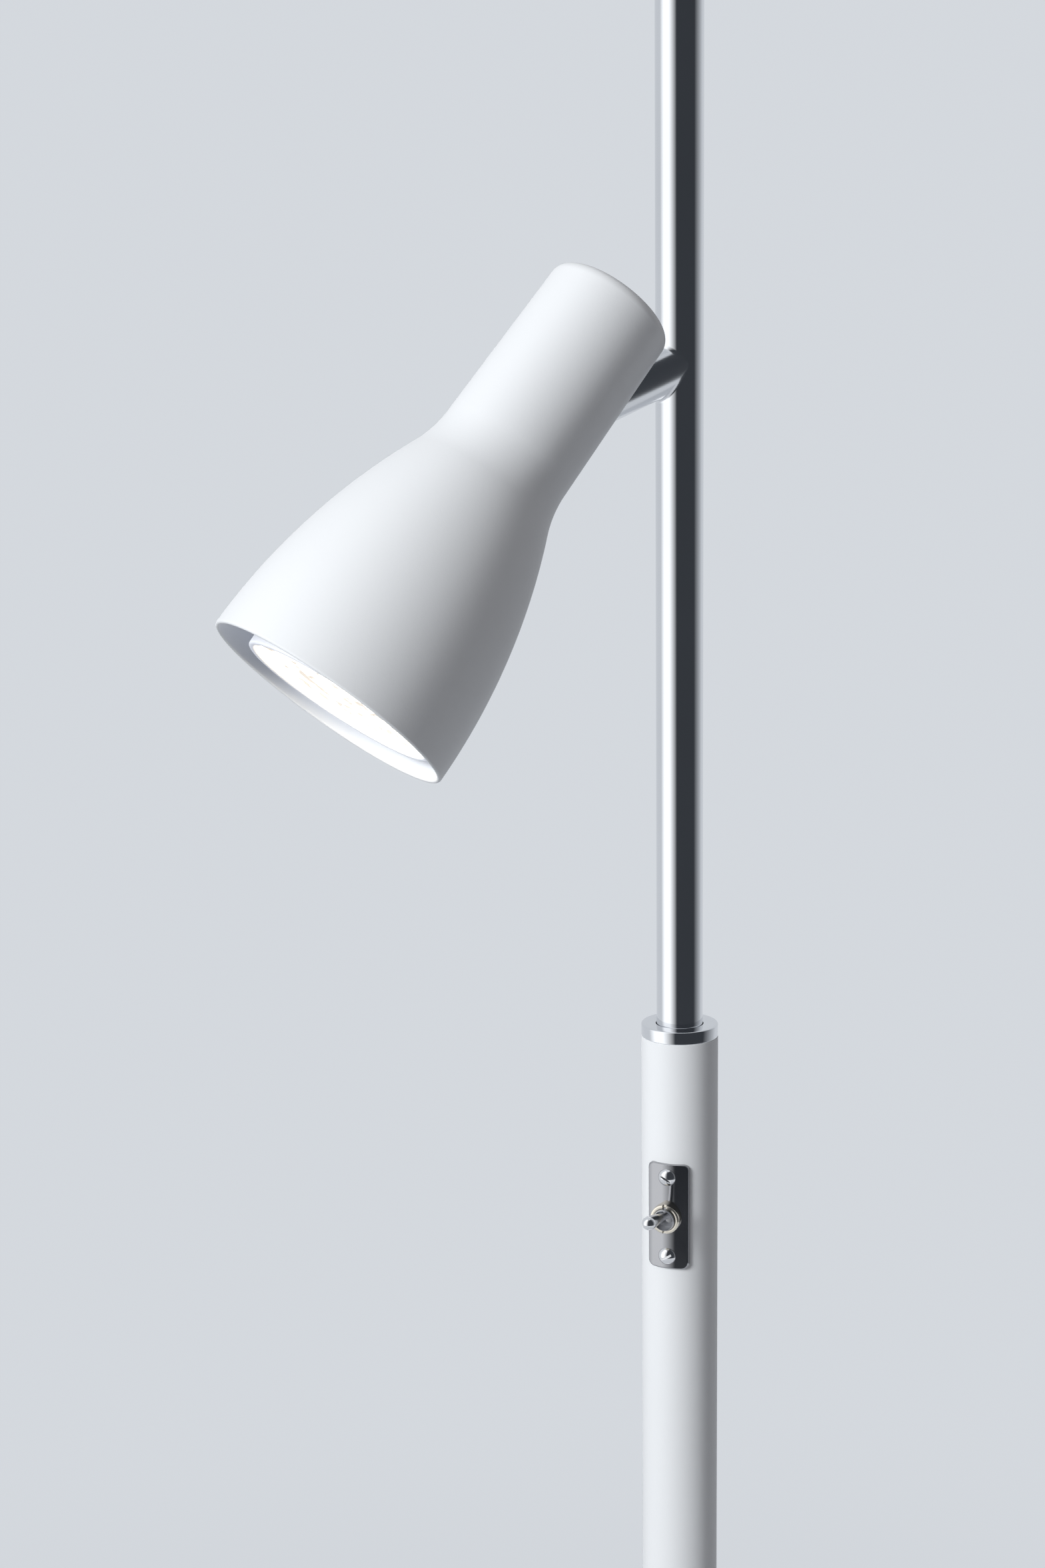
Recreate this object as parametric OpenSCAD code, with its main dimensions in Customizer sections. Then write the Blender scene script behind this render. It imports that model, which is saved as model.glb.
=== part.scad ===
// Tension pole lamp: a two-part pole held between floor and ceiling, with a switch in the lower
// tube and one spot head on a short arm of the upper tube.
// Frame: millimetres, +Z up, origin on the pole's axis at the floor face. The arm points to -Y.

/* [Lower tube] */
// Outer diameter of the lower tube
lower_d = 20; // [18:0.5:26]
// Wall of the lower tube
lower_wall = 1.5; // [1:0.1:1.8]
// Length of the lower tube
lower_len = 1223; // [800:1:1500]
// Depth of the socket that the upper tube stands in, below the collar's top
socket_depth = 36; // [24:0.5:36]
// Height of the collar ring
collar_h = 3.3; // [2:0.1:6]
// Wall of the nylon guide's floor, which carries the upper tube
guide_floor = 5; // [3:0.5:6]

/* [Upper tube] */
// Outer diameter of the upper tube
upper_d = 12; // [12:0.25:14]
// Wall of the upper tube
upper_wall = 1; // [0.8:0.1:1.2]
// Length of the upper tube
upper_len = 1108.7; // [700:0.1:1400]

/* [Arm] */
// Height of the arm's root above the collar's top
arm_rise = 168.7; // [120:0.1:400]
// Outer diameter of the arm
arm_d = 11.8; // [10.5:0.1:11.8]
// Wall of the arm
arm_wall = 1; // [0.8:0.1:1.4]
// Slope of the arm below level, in degrees
arm_slope = 21.5; // [15:0.5:24]
// Distance along the arm from the pole's axis to the tilt pin
pivot_reach = 35.4; // [34:0.1:44]
// Hole through the upper tube's wall into the arm
lead_hole_d = 8; // [6:0.5:9]

/* [Shade] */
// Tilt of the shade's axis below level, in degrees
head_tilt = 49.7; // [47:0.1:60]
// Length of the shade
shade_len = 120; // [110:0.5:150]
// Outer diameter of the neck at the top
neck_top_d = 32.8; // [31:0.1:34]
// Outer diameter of the neck where the bell begins
neck_d = 34.4; // [33.6:0.1:38]
// Length of the neck
neck_len = 46; // [42:0.5:52]
// Outer diameter of the mouth
mouth_d = 63.8; // [60:0.1:76]
// Wall of the shade
shade_wall = 1.2; // [0.8:0.1:1.6]
// Radius of the neck's rounded top edge
cap_round = 3; // [2:0.1:4]
// Rise of the cap's crown
cap_crown = 0.6; // [0.3:0.1:1.5]
// Radius of the hollow curve between neck and bell
throat_r = 30; // [15:1:60]
// Depth of the tilt pin below the cap
pivot_drop = 30; // [28:0.5:33]
// Distance from the shade's axis back to the tilt pin
pivot_back = 7; // [6:0.1:8]
// Tilt from rest towards straight down, in degrees
tilt_down = 40; // [20:1:42]
// Tilt from rest towards level, in degrees
tilt_up = 4; // [1:0.5:4]

/* [Lamp] */
// Diameter of the lamp's front rim
lamp_d = 50; // [48:0.5:51]
// Length of the lamp from its base to its rim, without its pins
lamp_len = 50.4; // [48:0.2:52]
// Diameter of the lamp's base
lamp_base_d = 23; // [20:0.5:24]
// Distance between the lamp's two pins
pin_pitch = 10; // [9:0.5:11]
// How far the lamp hangs out of line in its holder, in degrees
lamp_sag = 2.4; // [0:0.1:2.6]
// Depth of the lens behind the rim
lens_depth = 2.2; // [1:0.1:3]

/* [Lampholder] */
// Diameter of the ceramic lampholder
holder_d = 25; // [24:0.5:27]
// Height of the ceramic lampholder
holder_h = 20; // [18:0.5:21]
// Gap between the lampholder and the lamp's base
holder_gap = 0.7; // [0.6:0.05:1]

/* [Switch] */
// Depth of the switch's centre below the collar's top
switch_drop = 49.5; // [49.5:0.5:90]
// Direction that the switch faces, in degrees from the arm towards +X
switch_az = 40; // [0:1:90]
// Width of the switch plate
plate_w = 11; // [9:0.1:14]
// Height of the switch plate
plate_h = 28.4; // [28:0.1:36]
// Thickness of the switch plate
plate_t = 1; // [0.8:0.1:1.5]
// Distance between the two plate screws
plate_screw_pitch = 21.5; // [21:0.1:24]
// Diameter of the screws' domed heads
dome_d = 4.6; // [4:0.1:5]
// Diameter of the switch's threaded bushing
bushing_d = 6; // [5.5:0.1:6.5]
// Length of the lever in front of its nut
lever_len = 14.5; // [10:0.5:17]
// Angle of the lever above level when it is up, in degrees
lever_throw = 12; // [8:0.5:12]

/* [Foot and ceiling plates] */
// Diameter of the foot plate and of the ceiling plate
disc_d = 60; // [50:1:90]
// Thickness of each plate
disc_t = 8; // [8:0.5:12]
// Diameter of the rubber pads
pad_d = 54; // [44:1:55]
// Thickness of the rubber pads
pad_t = 4; // [3:0.5:6]
// Diameter of the jack screw
jack_d = 10; // [8:0.5:11]
// Rise of the jack screw's thread for one turn
jack_pitch = 2; // [1.5:0.25:3]
// Travel of the jack
jack_travel = 30; // [20:1:35]
// Diameter of the jack's adjusting wheel
wheel_d = 32; // [28:1:40]
// Height of the adjusting wheel
wheel_h = 12; // [8:0.5:16]
// Diameter of the spring plunger
plunger_d = 8; // [6:0.25:8]
// Travel of the spring plunger
plunger_travel = 45; // [30:1:50]
// Height of the cable inlet above the foot plate
inlet_rise = 100; // [80:1:200]
// Bore of the cable inlet
inlet_bore = 5.5; // [4:0.1:6]

/* [Fits] */
// Running clearance of round fits, on the radius
run_gap = 0.06; // [0.04:0.01:0.1]
// Clearance of fixed round fits, on the radius
fixed_gap = 0.02; // [0.01:0.01:0.03]
// Clearance between the arm and its slot in the shade
slot_gap = 0.6; // [0.5:0.05:0.8]

/* [Hidden] */

$fn = 72;
// Small overlap that keeps cutting shapes clear of the faces they open
eps = 0.5;

// Heights along the pole
pad_inset = 1;
foot_top = pad_t - pad_inset + disc_t;
jack_clear = 3;
wheel_z = foot_top + jack_clear;
plug_flange = 3;
plug_z = wheel_z + wheel_h;
plug_len = 40;
lower_z = plug_z + plug_flange;
lower_top = lower_z + lower_len;
collar_top = lower_top + collar_h;
upper_z = collar_top - socket_depth;
upper_top = upper_z + upper_len;
arm_z = collar_top + arm_rise;
switch_z = collar_top - switch_drop;
lower_r = lower_d / 2;
lower_bore_r = lower_r - lower_wall;
upper_r = upper_d / 2;
upper_bore_r = upper_r - upper_wall;

// Ceiling end
bush_flange = 2;
top_bush_len = 26;
boss_h = 6;
plunger_show = plunger_travel + 8;
cup_z = upper_top + bush_flange + plunger_show;
ceiling_disc_z = cup_z + boss_h;
ceiling_top = ceiling_disc_z + disc_t + pad_t - pad_inset;
slider_len = 20;
slider_top = upper_top - top_bush_len;
spring_top = slider_top - slider_len;
spring_wire = 1.2;
spring_turns = 16;
spring_rest = 120;
spring_z = spring_top - spring_rest;
seat_len = 12;
boss_d = 18;
recess_d = 15;
recess_h = 3;

// Head: directions of the arm and of the shade, and the places that follow from them
arm_r = arm_d / 2;
pivot_y = -pivot_reach * cos(arm_slope);
pivot_z = arm_z - pivot_reach * sin(arm_slope);
lean = head_tilt - arm_slope;
tongue_t = 5;
tongue_r = 5;
washer_t = 1;
cheek_t = 1.5;
cheek_x = tongue_t / 2 + washer_t + run_gap;
arm_end = pivot_reach - tongue_r - 1.9;
arm_cap = 1;
tilt_pin_d = 4;
yoke_t = 1.5;
yoke_web_u = shade_wall;
yoke_foot_u = neck_len + 0.2;
holder_u = yoke_foot_u + yoke_t;
lamp_u = holder_u + holder_h + holder_gap;
cap_screw_d = 4;

// Shade outline: the neck tapers, then a hollow arc and a crowned arc meet at one slope
neck_top_r = neck_top_d / 2;
neck_r = neck_d / 2;
mouth_r = mouth_d / 2;
bell_len = shade_len - neck_len;
bell_rise = mouth_r - neck_r;
bell_angle = 2 * atan(bell_rise / bell_len);
arcs_r = bell_len / sin(bell_angle);
bell_r = arcs_r - throat_r;
crown_r = (pow(neck_top_r - cap_round, 2) + pow(cap_crown, 2)) / (2 * cap_crown);

// Slot in the neck for the arm, from the two ends of the tilt
lean_min = lean - tilt_up;
lean_max = lean + tilt_down;
slot_w = arm_d + 2 * slot_gap;
slot_in = pivot_back + (pivot_drop - shade_wall) * tan(lean_min) - arm_r / cos(lean_min) - slot_gap;
slot_low = pivot_drop - (neck_top_r - shade_wall - pivot_back) / tan(lean_max)
    + arm_r / sin(lean_max) + slot_gap;

// ---- Placing ----

// Local frame of the shade: origin at the cap's centre, +Z along the shade to its mouth,
// -Y towards the pole
module in_head() {
    translate([0, pivot_y, pivot_z]) rotate([90 + head_tilt, 0, 0])
        translate([0, pivot_back, -pivot_drop]) children();
}

// Local frame of the lamp: origin at its base, +Z to its front, hanging down in its holder
module in_lamp() {
    in_head() translate([0, 0, lamp_u]) rotate([lamp_sag, 0, 0]) children();
}

// Local frame of the arm: origin on the pole's axis, +Z along the arm
module in_arm() {
    translate([0, 0, arm_z]) rotate([90 + arm_slope, 0, 0]) children();
}

// Local frame of the switch: origin on the pole's axis, +X outwards through the switch
module in_switch() {
    translate([0, 0, switch_z]) rotate([0, 0, switch_az - 90]) children();
}

// A cylinder along local +X
module bar_x(r, x0, x1) {
    translate([x0, 0, 0]) rotate([0, 90, 0]) cylinder(r = r, h = x1 - x0);
}

// A ring between two radii
module ring(r_out, r_in, h) {
    difference() {
        cylinder(r = r_out, h = h);
        translate([0, 0, -eps]) cylinder(r = r_in, h = h + 2 * eps);
    }
}

// A flat rectangle with round corners, centred
module soft_rect(w, h, r) {
    square([w - 2 * r, h], center = true);
    square([w, h - 2 * r], center = true);
    for (x = [-1, 1], y = [-1, 1])
        translate([x * (w / 2 - r), y * (h / 2 - r)]) circle(r = r);
}

// ---- Foot ----

// A plate with a rounded shoulder, seen from its pad side upwards, with a recess for its pad
module disc_plate(bore_r) {
    shoulder = 3;
    rotate_extrude($fn = 120) difference() {
        union() {
            square([disc_d / 2 - shoulder, disc_t]);
            square([disc_d / 2, disc_t - shoulder]);
            translate([disc_d / 2 - shoulder, disc_t - shoulder]) circle(r = shoulder);
        }
        translate([-eps, -eps]) square([bore_r + eps, disc_t + 2 * eps]);
        translate([-eps, -eps]) square([recess_d / 2 + eps, recess_h + pad_inset + eps]);
        translate([-eps, -eps]) square([pad_d / 2 + fixed_gap + eps, pad_inset + eps]);
    }
}

// A rubber pad with a chamfered face
module pad() {
    chamfer = 0.8;
    cylinder(r1 = pad_d / 2 - chamfer, r2 = pad_d / 2, h = chamfer, $fn = 120);
    translate([0, 0, chamfer]) cylinder(r = pad_d / 2, h = pad_t - chamfer, $fn = 120);
}

module floor_pad() {
    color("#2b2b2d") pad();
}

module foot_plate() {
    color("#f1f2f3") translate([0, 0, pad_t - pad_inset]) disc_plate(jack_d / 2 + fixed_gap);
}

// The jack screw stands in the foot plate on its flange, with thread from the plate upwards
module jack_screw() {
    screw_top = plug_z + jack_travel + 20;
    thread_z = foot_top + 1;
    root_r = jack_d / 2 - 0.55;
    ridges = floor((screw_top - thread_z) / jack_pitch);
    color("#b9bbbe") {
        translate([0, 0, pad_t]) cylinder(r = recess_d / 2 - fixed_gap, h = recess_h);
        translate([0, 0, pad_t]) cylinder(r = jack_d / 2, h = thread_z - pad_t);
        translate([0, 0, thread_z]) rotate_extrude() polygon(concat(
            [[0, 0]],
            [for (i = [0:ridges - 1]) each [[root_r, i * jack_pitch],
                [jack_d / 2, (i + 0.4) * jack_pitch], [jack_d / 2, (i + 0.6) * jack_pitch]]],
            [[root_r, ridges * jack_pitch], [0, ridges * jack_pitch]]));
    }
}

module jack_wheel() {
    scallops = 24;
    scallop_r = 1.6;
    edge = 1;
    color("#1f2022") translate([0, 0, wheel_z]) difference() {
        rotate_extrude($fn = 96) polygon([[0, 0], [wheel_d / 2 - edge, 0], [wheel_d / 2, edge],
            [wheel_d / 2, wheel_h - edge], [wheel_d / 2 - edge, wheel_h], [0, wheel_h]]);
        for (i = [0:scallops - 1]) rotate([0, 0, i * 360 / scallops])
            translate([wheel_d / 2 + 0.7, 0, -eps]) cylinder(r = scallop_r, h = wheel_h + 2 * eps, $fn = 24);
        translate([0, 0, -eps]) cylinder(r = jack_d / 2 + run_gap, h = wheel_h + 2 * eps);
    }
}

// ---- Lower tube ----

module lower_plug() {
    color("#c9cacc") translate([0, 0, plug_z]) difference() {
        union() {
            cylinder(r = lower_r, h = plug_flange);
            cylinder(r = lower_bore_r - fixed_gap, h = plug_flange + plug_len);
        }
        translate([0, 0, -eps]) cylinder(r = jack_d / 2 + run_gap, h = plug_len + plug_flange + 2 * eps);
        plug_screw_hole(fixed_gap);
    }
}

plug_screw_d = 3;
plug_screw_up = 14;
module plug_screw_hole(gap) {
    translate([0, 0, plug_screw_up]) rotate([0, 0, 90]) bar_x(plug_screw_d / 2 + gap, jack_d / 2 - eps, lower_r + eps);
}

// A countersunk screw on the rear, flush with the tube, which holds the plug
module plug_screw() {
    color("#c9cacc") translate([0, 0, plug_z + plug_screw_up]) rotate([0, 0, 90])
        difference() {
            bar_x(plug_screw_d / 2, jack_d / 2 + 0.6, lower_r - 0.1);
            translate([lower_r - 0.6, -plug_screw_d, -0.25]) cube([2, 2 * plug_screw_d, 0.5]);
        }
}

module lower_tube() {
    inlet_hole_r = inlet_bore / 2 + inlet_wall;
    color("#f3f4f5") difference() {
        translate([0, 0, lower_z]) ring(lower_r, lower_bore_r, lower_len);
        translate([0, 0, plug_z]) plug_screw_hole(fixed_gap);
        translate([0, 0, inlet_z]) rotate([0, 0, 90]) bar_x(inlet_hole_r + fixed_gap, 1, lower_r + 1);
        in_switch() {
            bar_x(bushing_d / 2 + fixed_gap, 1, lower_r + 1);
            for (s = [-1, 1]) translate([0, 0, s * plate_screw_pitch / 2])
                bar_x(shank_d / 2 + fixed_gap, 1, lower_r + 1);
        }
    }
}

inlet_z = foot_top + inlet_rise;
inlet_wall = 1;
inlet_lip = 1.2;

// A rubber bush in the tube's rear, with a lip outside and one inside the wall
module inlet_bush() {
    lip_r = inlet_bore / 2 + inlet_wall + inlet_lip;
    color("#e6e7e8") translate([0, 0, inlet_z]) rotate([0, 0, 90]) difference() {
        union() {
            bar_x(inlet_bore / 2 + inlet_wall, lower_bore_r - 1.6, lower_r + 1.2);
            difference() {
                bar_x(lip_r, lower_bore_r - 1.6, lower_r + 1.2);
                translate([0, 0, -lip_r - eps]) difference() {
                    cylinder(r = lower_r, h = 2 * lip_r + 2 * eps);
                    translate([0, 0, -eps]) cylinder(r = lower_bore_r, h = 2 * lip_r + 4 * eps);
                }
            }
        }
        bar_x(inlet_bore / 2, 1, lower_r + 3);
    }
}

collar_spigot = 6;
collar_gap = 0.15;

// Nylon guide under the collar: the upper tube stands on its floor and turns in its bore. The floor
// is narrower than the lower tube's bore, so that it clears the inner ends of the plate screws
module guide_bush() {
    guide_z = upper_z - guide_floor;
    guide_top = lower_top - collar_spigot;
    color("#ececea") translate([0, 0, guide_z]) difference() {
        union() {
            cylinder(r = shank_in - fixed_gap - 0.3, h = guide_floor);
            translate([0, 0, guide_floor]) cylinder(r = lower_bore_r - fixed_gap, h = guide_top - upper_z);
        }
        translate([0, 0, guide_floor]) cylinder(r = upper_r + run_gap, h = guide_top);
        translate([0, 0, -eps]) cylinder(r = upper_bore_r - 1, h = guide_floor + 2 * eps);
    }
}

// Turned ring on the lower tube's end, with a spigot in its bore
module collar() {
    edge = 0.5;
    bore_r = upper_r + collar_gap;
    spigot_r = lower_bore_r - fixed_gap;
    color("#d7d9dc") translate([0, 0, lower_top]) rotate_extrude($fn = 120) polygon([
        [bore_r, -collar_spigot], [spigot_r, -collar_spigot], [spigot_r, 0], [lower_r, 0],
        [lower_r, collar_h - edge], [lower_r - edge, collar_h], [bore_r + edge, collar_h],
        [bore_r, collar_h - edge]]);
}

// ---- Switch ----

shank_d = 2.5;
shank_in = lower_bore_r - 1.4;
body_w = 8;
body_h = 13;
body_front = sqrt(pow(lower_bore_r, 2) - pow(body_w / 2, 2)) - 0.3;
body_depth = 9.4;
nut_d = 7.8;
nut_t = 2.2;
plate_r = lower_r + plate_t;
nut_x = plate_r;
bushing_end = nut_x + nut_t + 0.8;
lever_pivot_x = body_front + 1.2;

module switch_plate() {
    color("#8f9296") in_switch() difference() {
        intersection() {
            translate([0, 0, -plate_h]) ring(plate_r, lower_r, 2 * plate_h);
            rotate([90, 0, 90]) linear_extrude(plate_r + 1) soft_rect(plate_w, plate_h, 1.5);
        }
        bar_x(bushing_d / 2 + fixed_gap, 1, plate_r + 1);
        for (s = [-1, 1]) translate([0, 0, s * plate_screw_pitch / 2])
            bar_x(shank_d / 2 + fixed_gap, 1, plate_r + 1);
    }
}

// Two screws with domed, slotted heads
module plate_screws() {
    dome_h = 1.5;
    dome_r = (pow(dome_d / 2, 2) + pow(dome_h, 2)) / (2 * dome_h);
    seat_x = sqrt(pow(plate_r, 2) - pow(shank_d / 2, 2));
    color("#d7d9dc") in_switch() for (s = [-1, 1]) translate([0, 0, s * plate_screw_pitch / 2]) {
        bar_x(shank_d / 2, shank_in, plate_r + 0.1);
        difference() {
            translate([plate_r + dome_h - dome_r, 0, 0]) rotate([0, 90, 0]) rotate_extrude()
                intersection() {
                    circle(r = dome_r);
                    translate([0, dome_r - dome_h]) square([dome_r, dome_h]);
                }
            translate([plate_r + dome_h - 0.6, -0.3, -dome_d / 2 - eps]) cube([1, 0.6, dome_d + 2 * eps]);
        }
    }
}

module switch_body() {
    color("#b3282a") in_switch() difference() {
        translate([body_front - body_depth, -body_w / 2, -body_h / 2]) cube([body_depth, body_w, body_h]);
        bar_x(2.4, body_front - 3, body_front + 1);
    }
}

module switch_terminals() {
    lug_t = 0.8;
    lug_w = 2;
    lug_len = 3.4;
    color("#c8a24a") in_switch() for (z = [-4.4, 0, 4.4])
        translate([body_front - body_depth - lug_len, -lug_w / 2, z - lug_t / 2])
            difference() {
                cube([lug_len, lug_w, lug_t]);
                translate([0.9, lug_w / 2, -eps]) cylinder(r = 0.5, h = lug_t + 2 * eps);
            }
}

// Threaded bushing, with a bore that widens outwards to let the lever swing
module switch_bushing() {
    color("#c9cacc") in_switch() difference() {
        bar_x(bushing_d / 2, body_front, bushing_end);
        translate([body_front - eps, 0, 0]) rotate([0, 90, 0])
            cylinder(r1 = 2.2, r2 = 2.62, h = bushing_end - body_front + 2 * eps);
    }
}

// Round dress nut with two spanner slots
module switch_nut() {
    edge = 0.4;
    color("#d7d9dc") in_switch() difference() {
        translate([nut_x, 0, 0]) rotate([0, 90, 0]) rotate_extrude() polygon([
            [bushing_d / 2 + fixed_gap, 0], [nut_d / 2, 0], [nut_d / 2, nut_t - edge],
            [nut_d / 2 - edge, nut_t], [bushing_d / 2 + fixed_gap, nut_t]]);
        translate([nut_x + nut_t - 0.7, -0.5, -nut_d]) cube([2, 1, 2 * nut_d]);
    }
}

// Bat-shaped lever: a ball in the body, a thin neck and a thick round end
module toggle_lever() {
    reach = nut_x + nut_t + lever_len - lever_pivot_x;
    tip_r = 1.75;
    neck_r_lever = 1;
    color("#d7d9dc") in_switch() translate([lever_pivot_x, 0, 0]) rotate([0, 90 - lever_throw, 0])
        rotate_extrude() intersection() {
            translate([0, -10]) square([10, reach + 20]);
            union() {
                circle(r = 1.8);
                polygon([[0, 0], [neck_r_lever, 0], [neck_r_lever, 5], [tip_r, reach - tip_r], [0, reach - tip_r]]);
                translate([0, reach - tip_r]) circle(r = tip_r);
            }
        }
}

// ---- Upper tube and arm ----

module upper_tube() {
    color("#d9dbde") difference() {
        translate([0, 0, upper_z]) ring(upper_r, upper_bore_r, upper_len);
        in_arm() cylinder(r = lead_hole_d / 2, h = upper_d);
        translate([0, 0, seat_pin_z]) bar_x(seat_pin_d / 2 + fixed_gap, -upper_d, upper_d);
    }
}

// The arm's root is cut to the upper tube's round and brazed to it
module arm() {
    color("#d9dbde") difference() {
        in_arm() cylinder(r = arm_r, h = arm_end);
        in_arm() cylinder(r = arm_r - arm_wall, h = arm_end + 1);
        translate([0, 0, arm_z - 3 * arm_d]) cylinder(r = upper_r, h = 6 * arm_d);
    }
}

// Plug in the arm's end with a flat tongue that holds the tilt pin
module arm_tongue() {
    spigot = 9;
    color("#c9cacc") in_arm() difference() {
        union() {
            translate([0, 0, arm_end - spigot]) cylinder(r = arm_r - arm_wall - fixed_gap, h = spigot);
            translate([0, 0, arm_end]) cylinder(r = arm_r, h = arm_cap);
            translate([-tongue_t / 2, -tongue_r, arm_end])
                cube([tongue_t, 2 * tongue_r, pivot_reach - arm_end]);
            translate([0, 0, pivot_reach]) bar_x(tongue_r, -tongue_t / 2, tongue_t / 2);
        }
        translate([0, 0, pivot_reach]) bar_x(tilt_pin_d / 2 + run_gap, -tongue_t, tongue_t);
        translate([0, 0, arm_end - spigot - eps]) cylinder(r = lead_d + 0.5, h = spigot - 2 + eps);
    }
}

lead_d = 1.6;
lead_bend = 4;
lead_y = 2;

// Twin leads up the tube, round the bend and down the arm, each swept along one flat path
module lamp_leads() {
    sides = 8;
    steps = 8;
    turn = 90 + arm_slope;
    bend_y = lead_y - lead_bend;
    end_y = bend_y + lead_bend * cos(turn);
    // Height of the bend's centre, from the arm's root, that brings the leads onto the arm's axis
    bend_up = end_y * tan(arm_slope) - lead_bend * sin(turn);
    rise = arm_z + bend_up - (switch_z + body_h / 2 + 1.5);
    run = arm_end - 6 + end_y / cos(arm_slope);
    // Each stop is [distance behind the axis, height, angle turned so far]
    bend = [for (i = [0:steps]) let (a = turn * i / steps)
        [bend_y + lead_bend * cos(a), bend_up + lead_bend * sin(a), a]];
    last = bend[steps];
    path = concat([[lead_y, bend_up - rise, 0]], bend,
        [[last[0] - run * sin(turn), last[1] + run * cos(turn), turn]]);
    points = [for (stop = path, k = [0:sides - 1]) let (b = 360 * (k + 0.5) / sides)
        [lead_d / 2 * cos(b), stop[0] + lead_d / 2 * sin(b) * cos(stop[2]),
         stop[1] + lead_d / 2 * sin(b) * sin(stop[2])]];
    color("#e8e4d8") translate([0, 0, arm_z]) for (s = [-1, 1])
        translate([s * (lead_d / 2 + 0.05), 0, 0]) polyhedron(points, tube_faces(len(path), sides));
}

// Faces of a tube from rings of points that turn anticlockwise as seen from its far end
function tube_faces(rings, sides) = concat(
    [[for (k = [0:sides - 1]) k]],
    [for (i = [0:rings - 2], k = [0:sides - 1]) let (a = i * sides + k, b = i * sides + (k + 1) % sides)
        each [[a, a + sides, b + sides], [a, b + sides, b]]],
    [[for (k = [sides - 1:-1:0]) (rings - 1) * sides + k]]);

// ---- Spring plunger at the ceiling ----

module top_bush() {
    color("#ececea") translate([0, 0, upper_top - top_bush_len]) difference() {
        union() {
            cylinder(r = upper_bore_r - fixed_gap, h = top_bush_len);
            translate([0, 0, top_bush_len]) cylinder(r = upper_r, h = bush_flange);
        }
        translate([0, 0, -eps]) cylinder(r = plunger_d / 2 + run_gap, h = top_bush_len + bush_flange + 2 * eps);
    }
}

seat_pin_d = 3;
seat_pin_z = spring_z - seat_len / 2;

module spring_seat() {
    color("#c9cacc") difference() {
        translate([0, 0, spring_z - seat_len]) cylinder(r = upper_bore_r - fixed_gap, h = seat_len);
        translate([0, 0, seat_pin_z]) bar_x(seat_pin_d / 2 + fixed_gap, -upper_d, upper_d);
    }
}

module seat_pin() {
    color("#c9cacc") translate([0, 0, seat_pin_z]) bar_x(seat_pin_d / 2, -upper_r + 0.05, upper_r - 0.05);
}

// Compression spring: one wire on a helix, with a closed turn at each end
module plunger_spring() {
    sides = 6;
    steps = 12;
    coil_r = upper_bore_r - 0.4 - spring_wire / 2;
    rings = spring_turns * steps;
    closed = 1.06 * spring_wire;
    open_pitch = (spring_rest - spring_wire - 2 * closed) / (spring_turns - 2);
    function height(turn) = turn < 1 ? turn * closed
        : turn > spring_turns - 1 ? spring_rest - spring_wire - (spring_turns - turn) * closed
        : closed + (turn - 1) * open_pitch;
    function wire_point(i, k) = let (a = i * 360 / steps, b = k * 360 / sides,
        r = coil_r + spring_wire / 2 * cos(b))
        [r * cos(a), r * sin(a), height(i / steps) + spring_wire / 2 * (1 + sin(b))];
    points = [for (i = [0:rings], k = [0:sides - 1]) wire_point(i, k)];
    color("#9b9ea2") translate([0, 0, spring_z]) polyhedron(points, tube_faces(rings + 1, sides));
}

module plunger_slider() {
    color("#ececea") translate([0, 0, spring_top]) cylinder(r = upper_bore_r - run_gap, h = slider_len);
}

rod_spigot_r = 3;
rod_spigot_h = 3;

// Rod with a shoulder and spigot that the ceiling plate turns on
module plunger_rod() {
    color("#d7d9dc") difference() {
        union() {
            translate([0, 0, slider_top]) cylinder(r = plunger_d / 2, h = cup_z + rod_in - slider_top);
            translate([0, 0, cup_z + rod_in]) cylinder(r = rod_spigot_r, h = rod_spigot_h);
        }
        translate([0, 0, cup_z + rod_in + rod_spigot_h - screw_in]) cylinder(r = pivot_screw_r + fixed_gap, h = screw_in + eps);
    }
}

rod_in = boss_h + disc_t - recess_h - pad_inset - rod_spigot_h;
pivot_screw_r = 1.5;
screw_in = 10;

module ceiling_plate() {
    color("#f1f2f3") difference() {
        union() {
            translate([0, 0, ceiling_disc_z + disc_t]) mirror([0, 0, 1]) disc_plate(rod_spigot_r + run_gap);
            translate([0, 0, cup_z]) cylinder(r = boss_d / 2, h = boss_h);
        }
        translate([0, 0, cup_z - eps]) cylinder(r = plunger_d / 2 + run_gap, h = rod_in + eps);
    }
}

module ceiling_pad() {
    color("#2b2b2d") translate([0, 0, ceiling_top]) mirror([0, 0, 1]) pad();
}

pivot_washer_t = 0.8;
module pivot_washer() {
    color("#c9cacc") translate([0, 0, cup_z + rod_in + rod_spigot_h + 0.05])
        ring(recess_d / 2 - 2.5, pivot_screw_r + fixed_gap, pivot_washer_t);
}

module pivot_screw() {
    head_h = 1.6;
    head_z = cup_z + rod_in + rod_spigot_h + 0.05 + pivot_washer_t;
    color("#c9cacc") {
        translate([0, 0, head_z - screw_in + 1]) cylinder(r = pivot_screw_r, h = screw_in);
        translate([0, 0, head_z]) difference() {
            cylinder(r = 2.8, h = head_h);
            translate([-0.4, -3, head_h - 0.8]) cube([0.8, 6, 1]);
        }
    }
}

// ---- Head ----

// Points of an arc, as [radius, depth] pairs
function arc(centre, r, from, to, steps) =
    [for (i = [0:steps]) let (a = from + (to - from) * i / steps) centre + r * [cos(a), sin(a)]];

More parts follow.
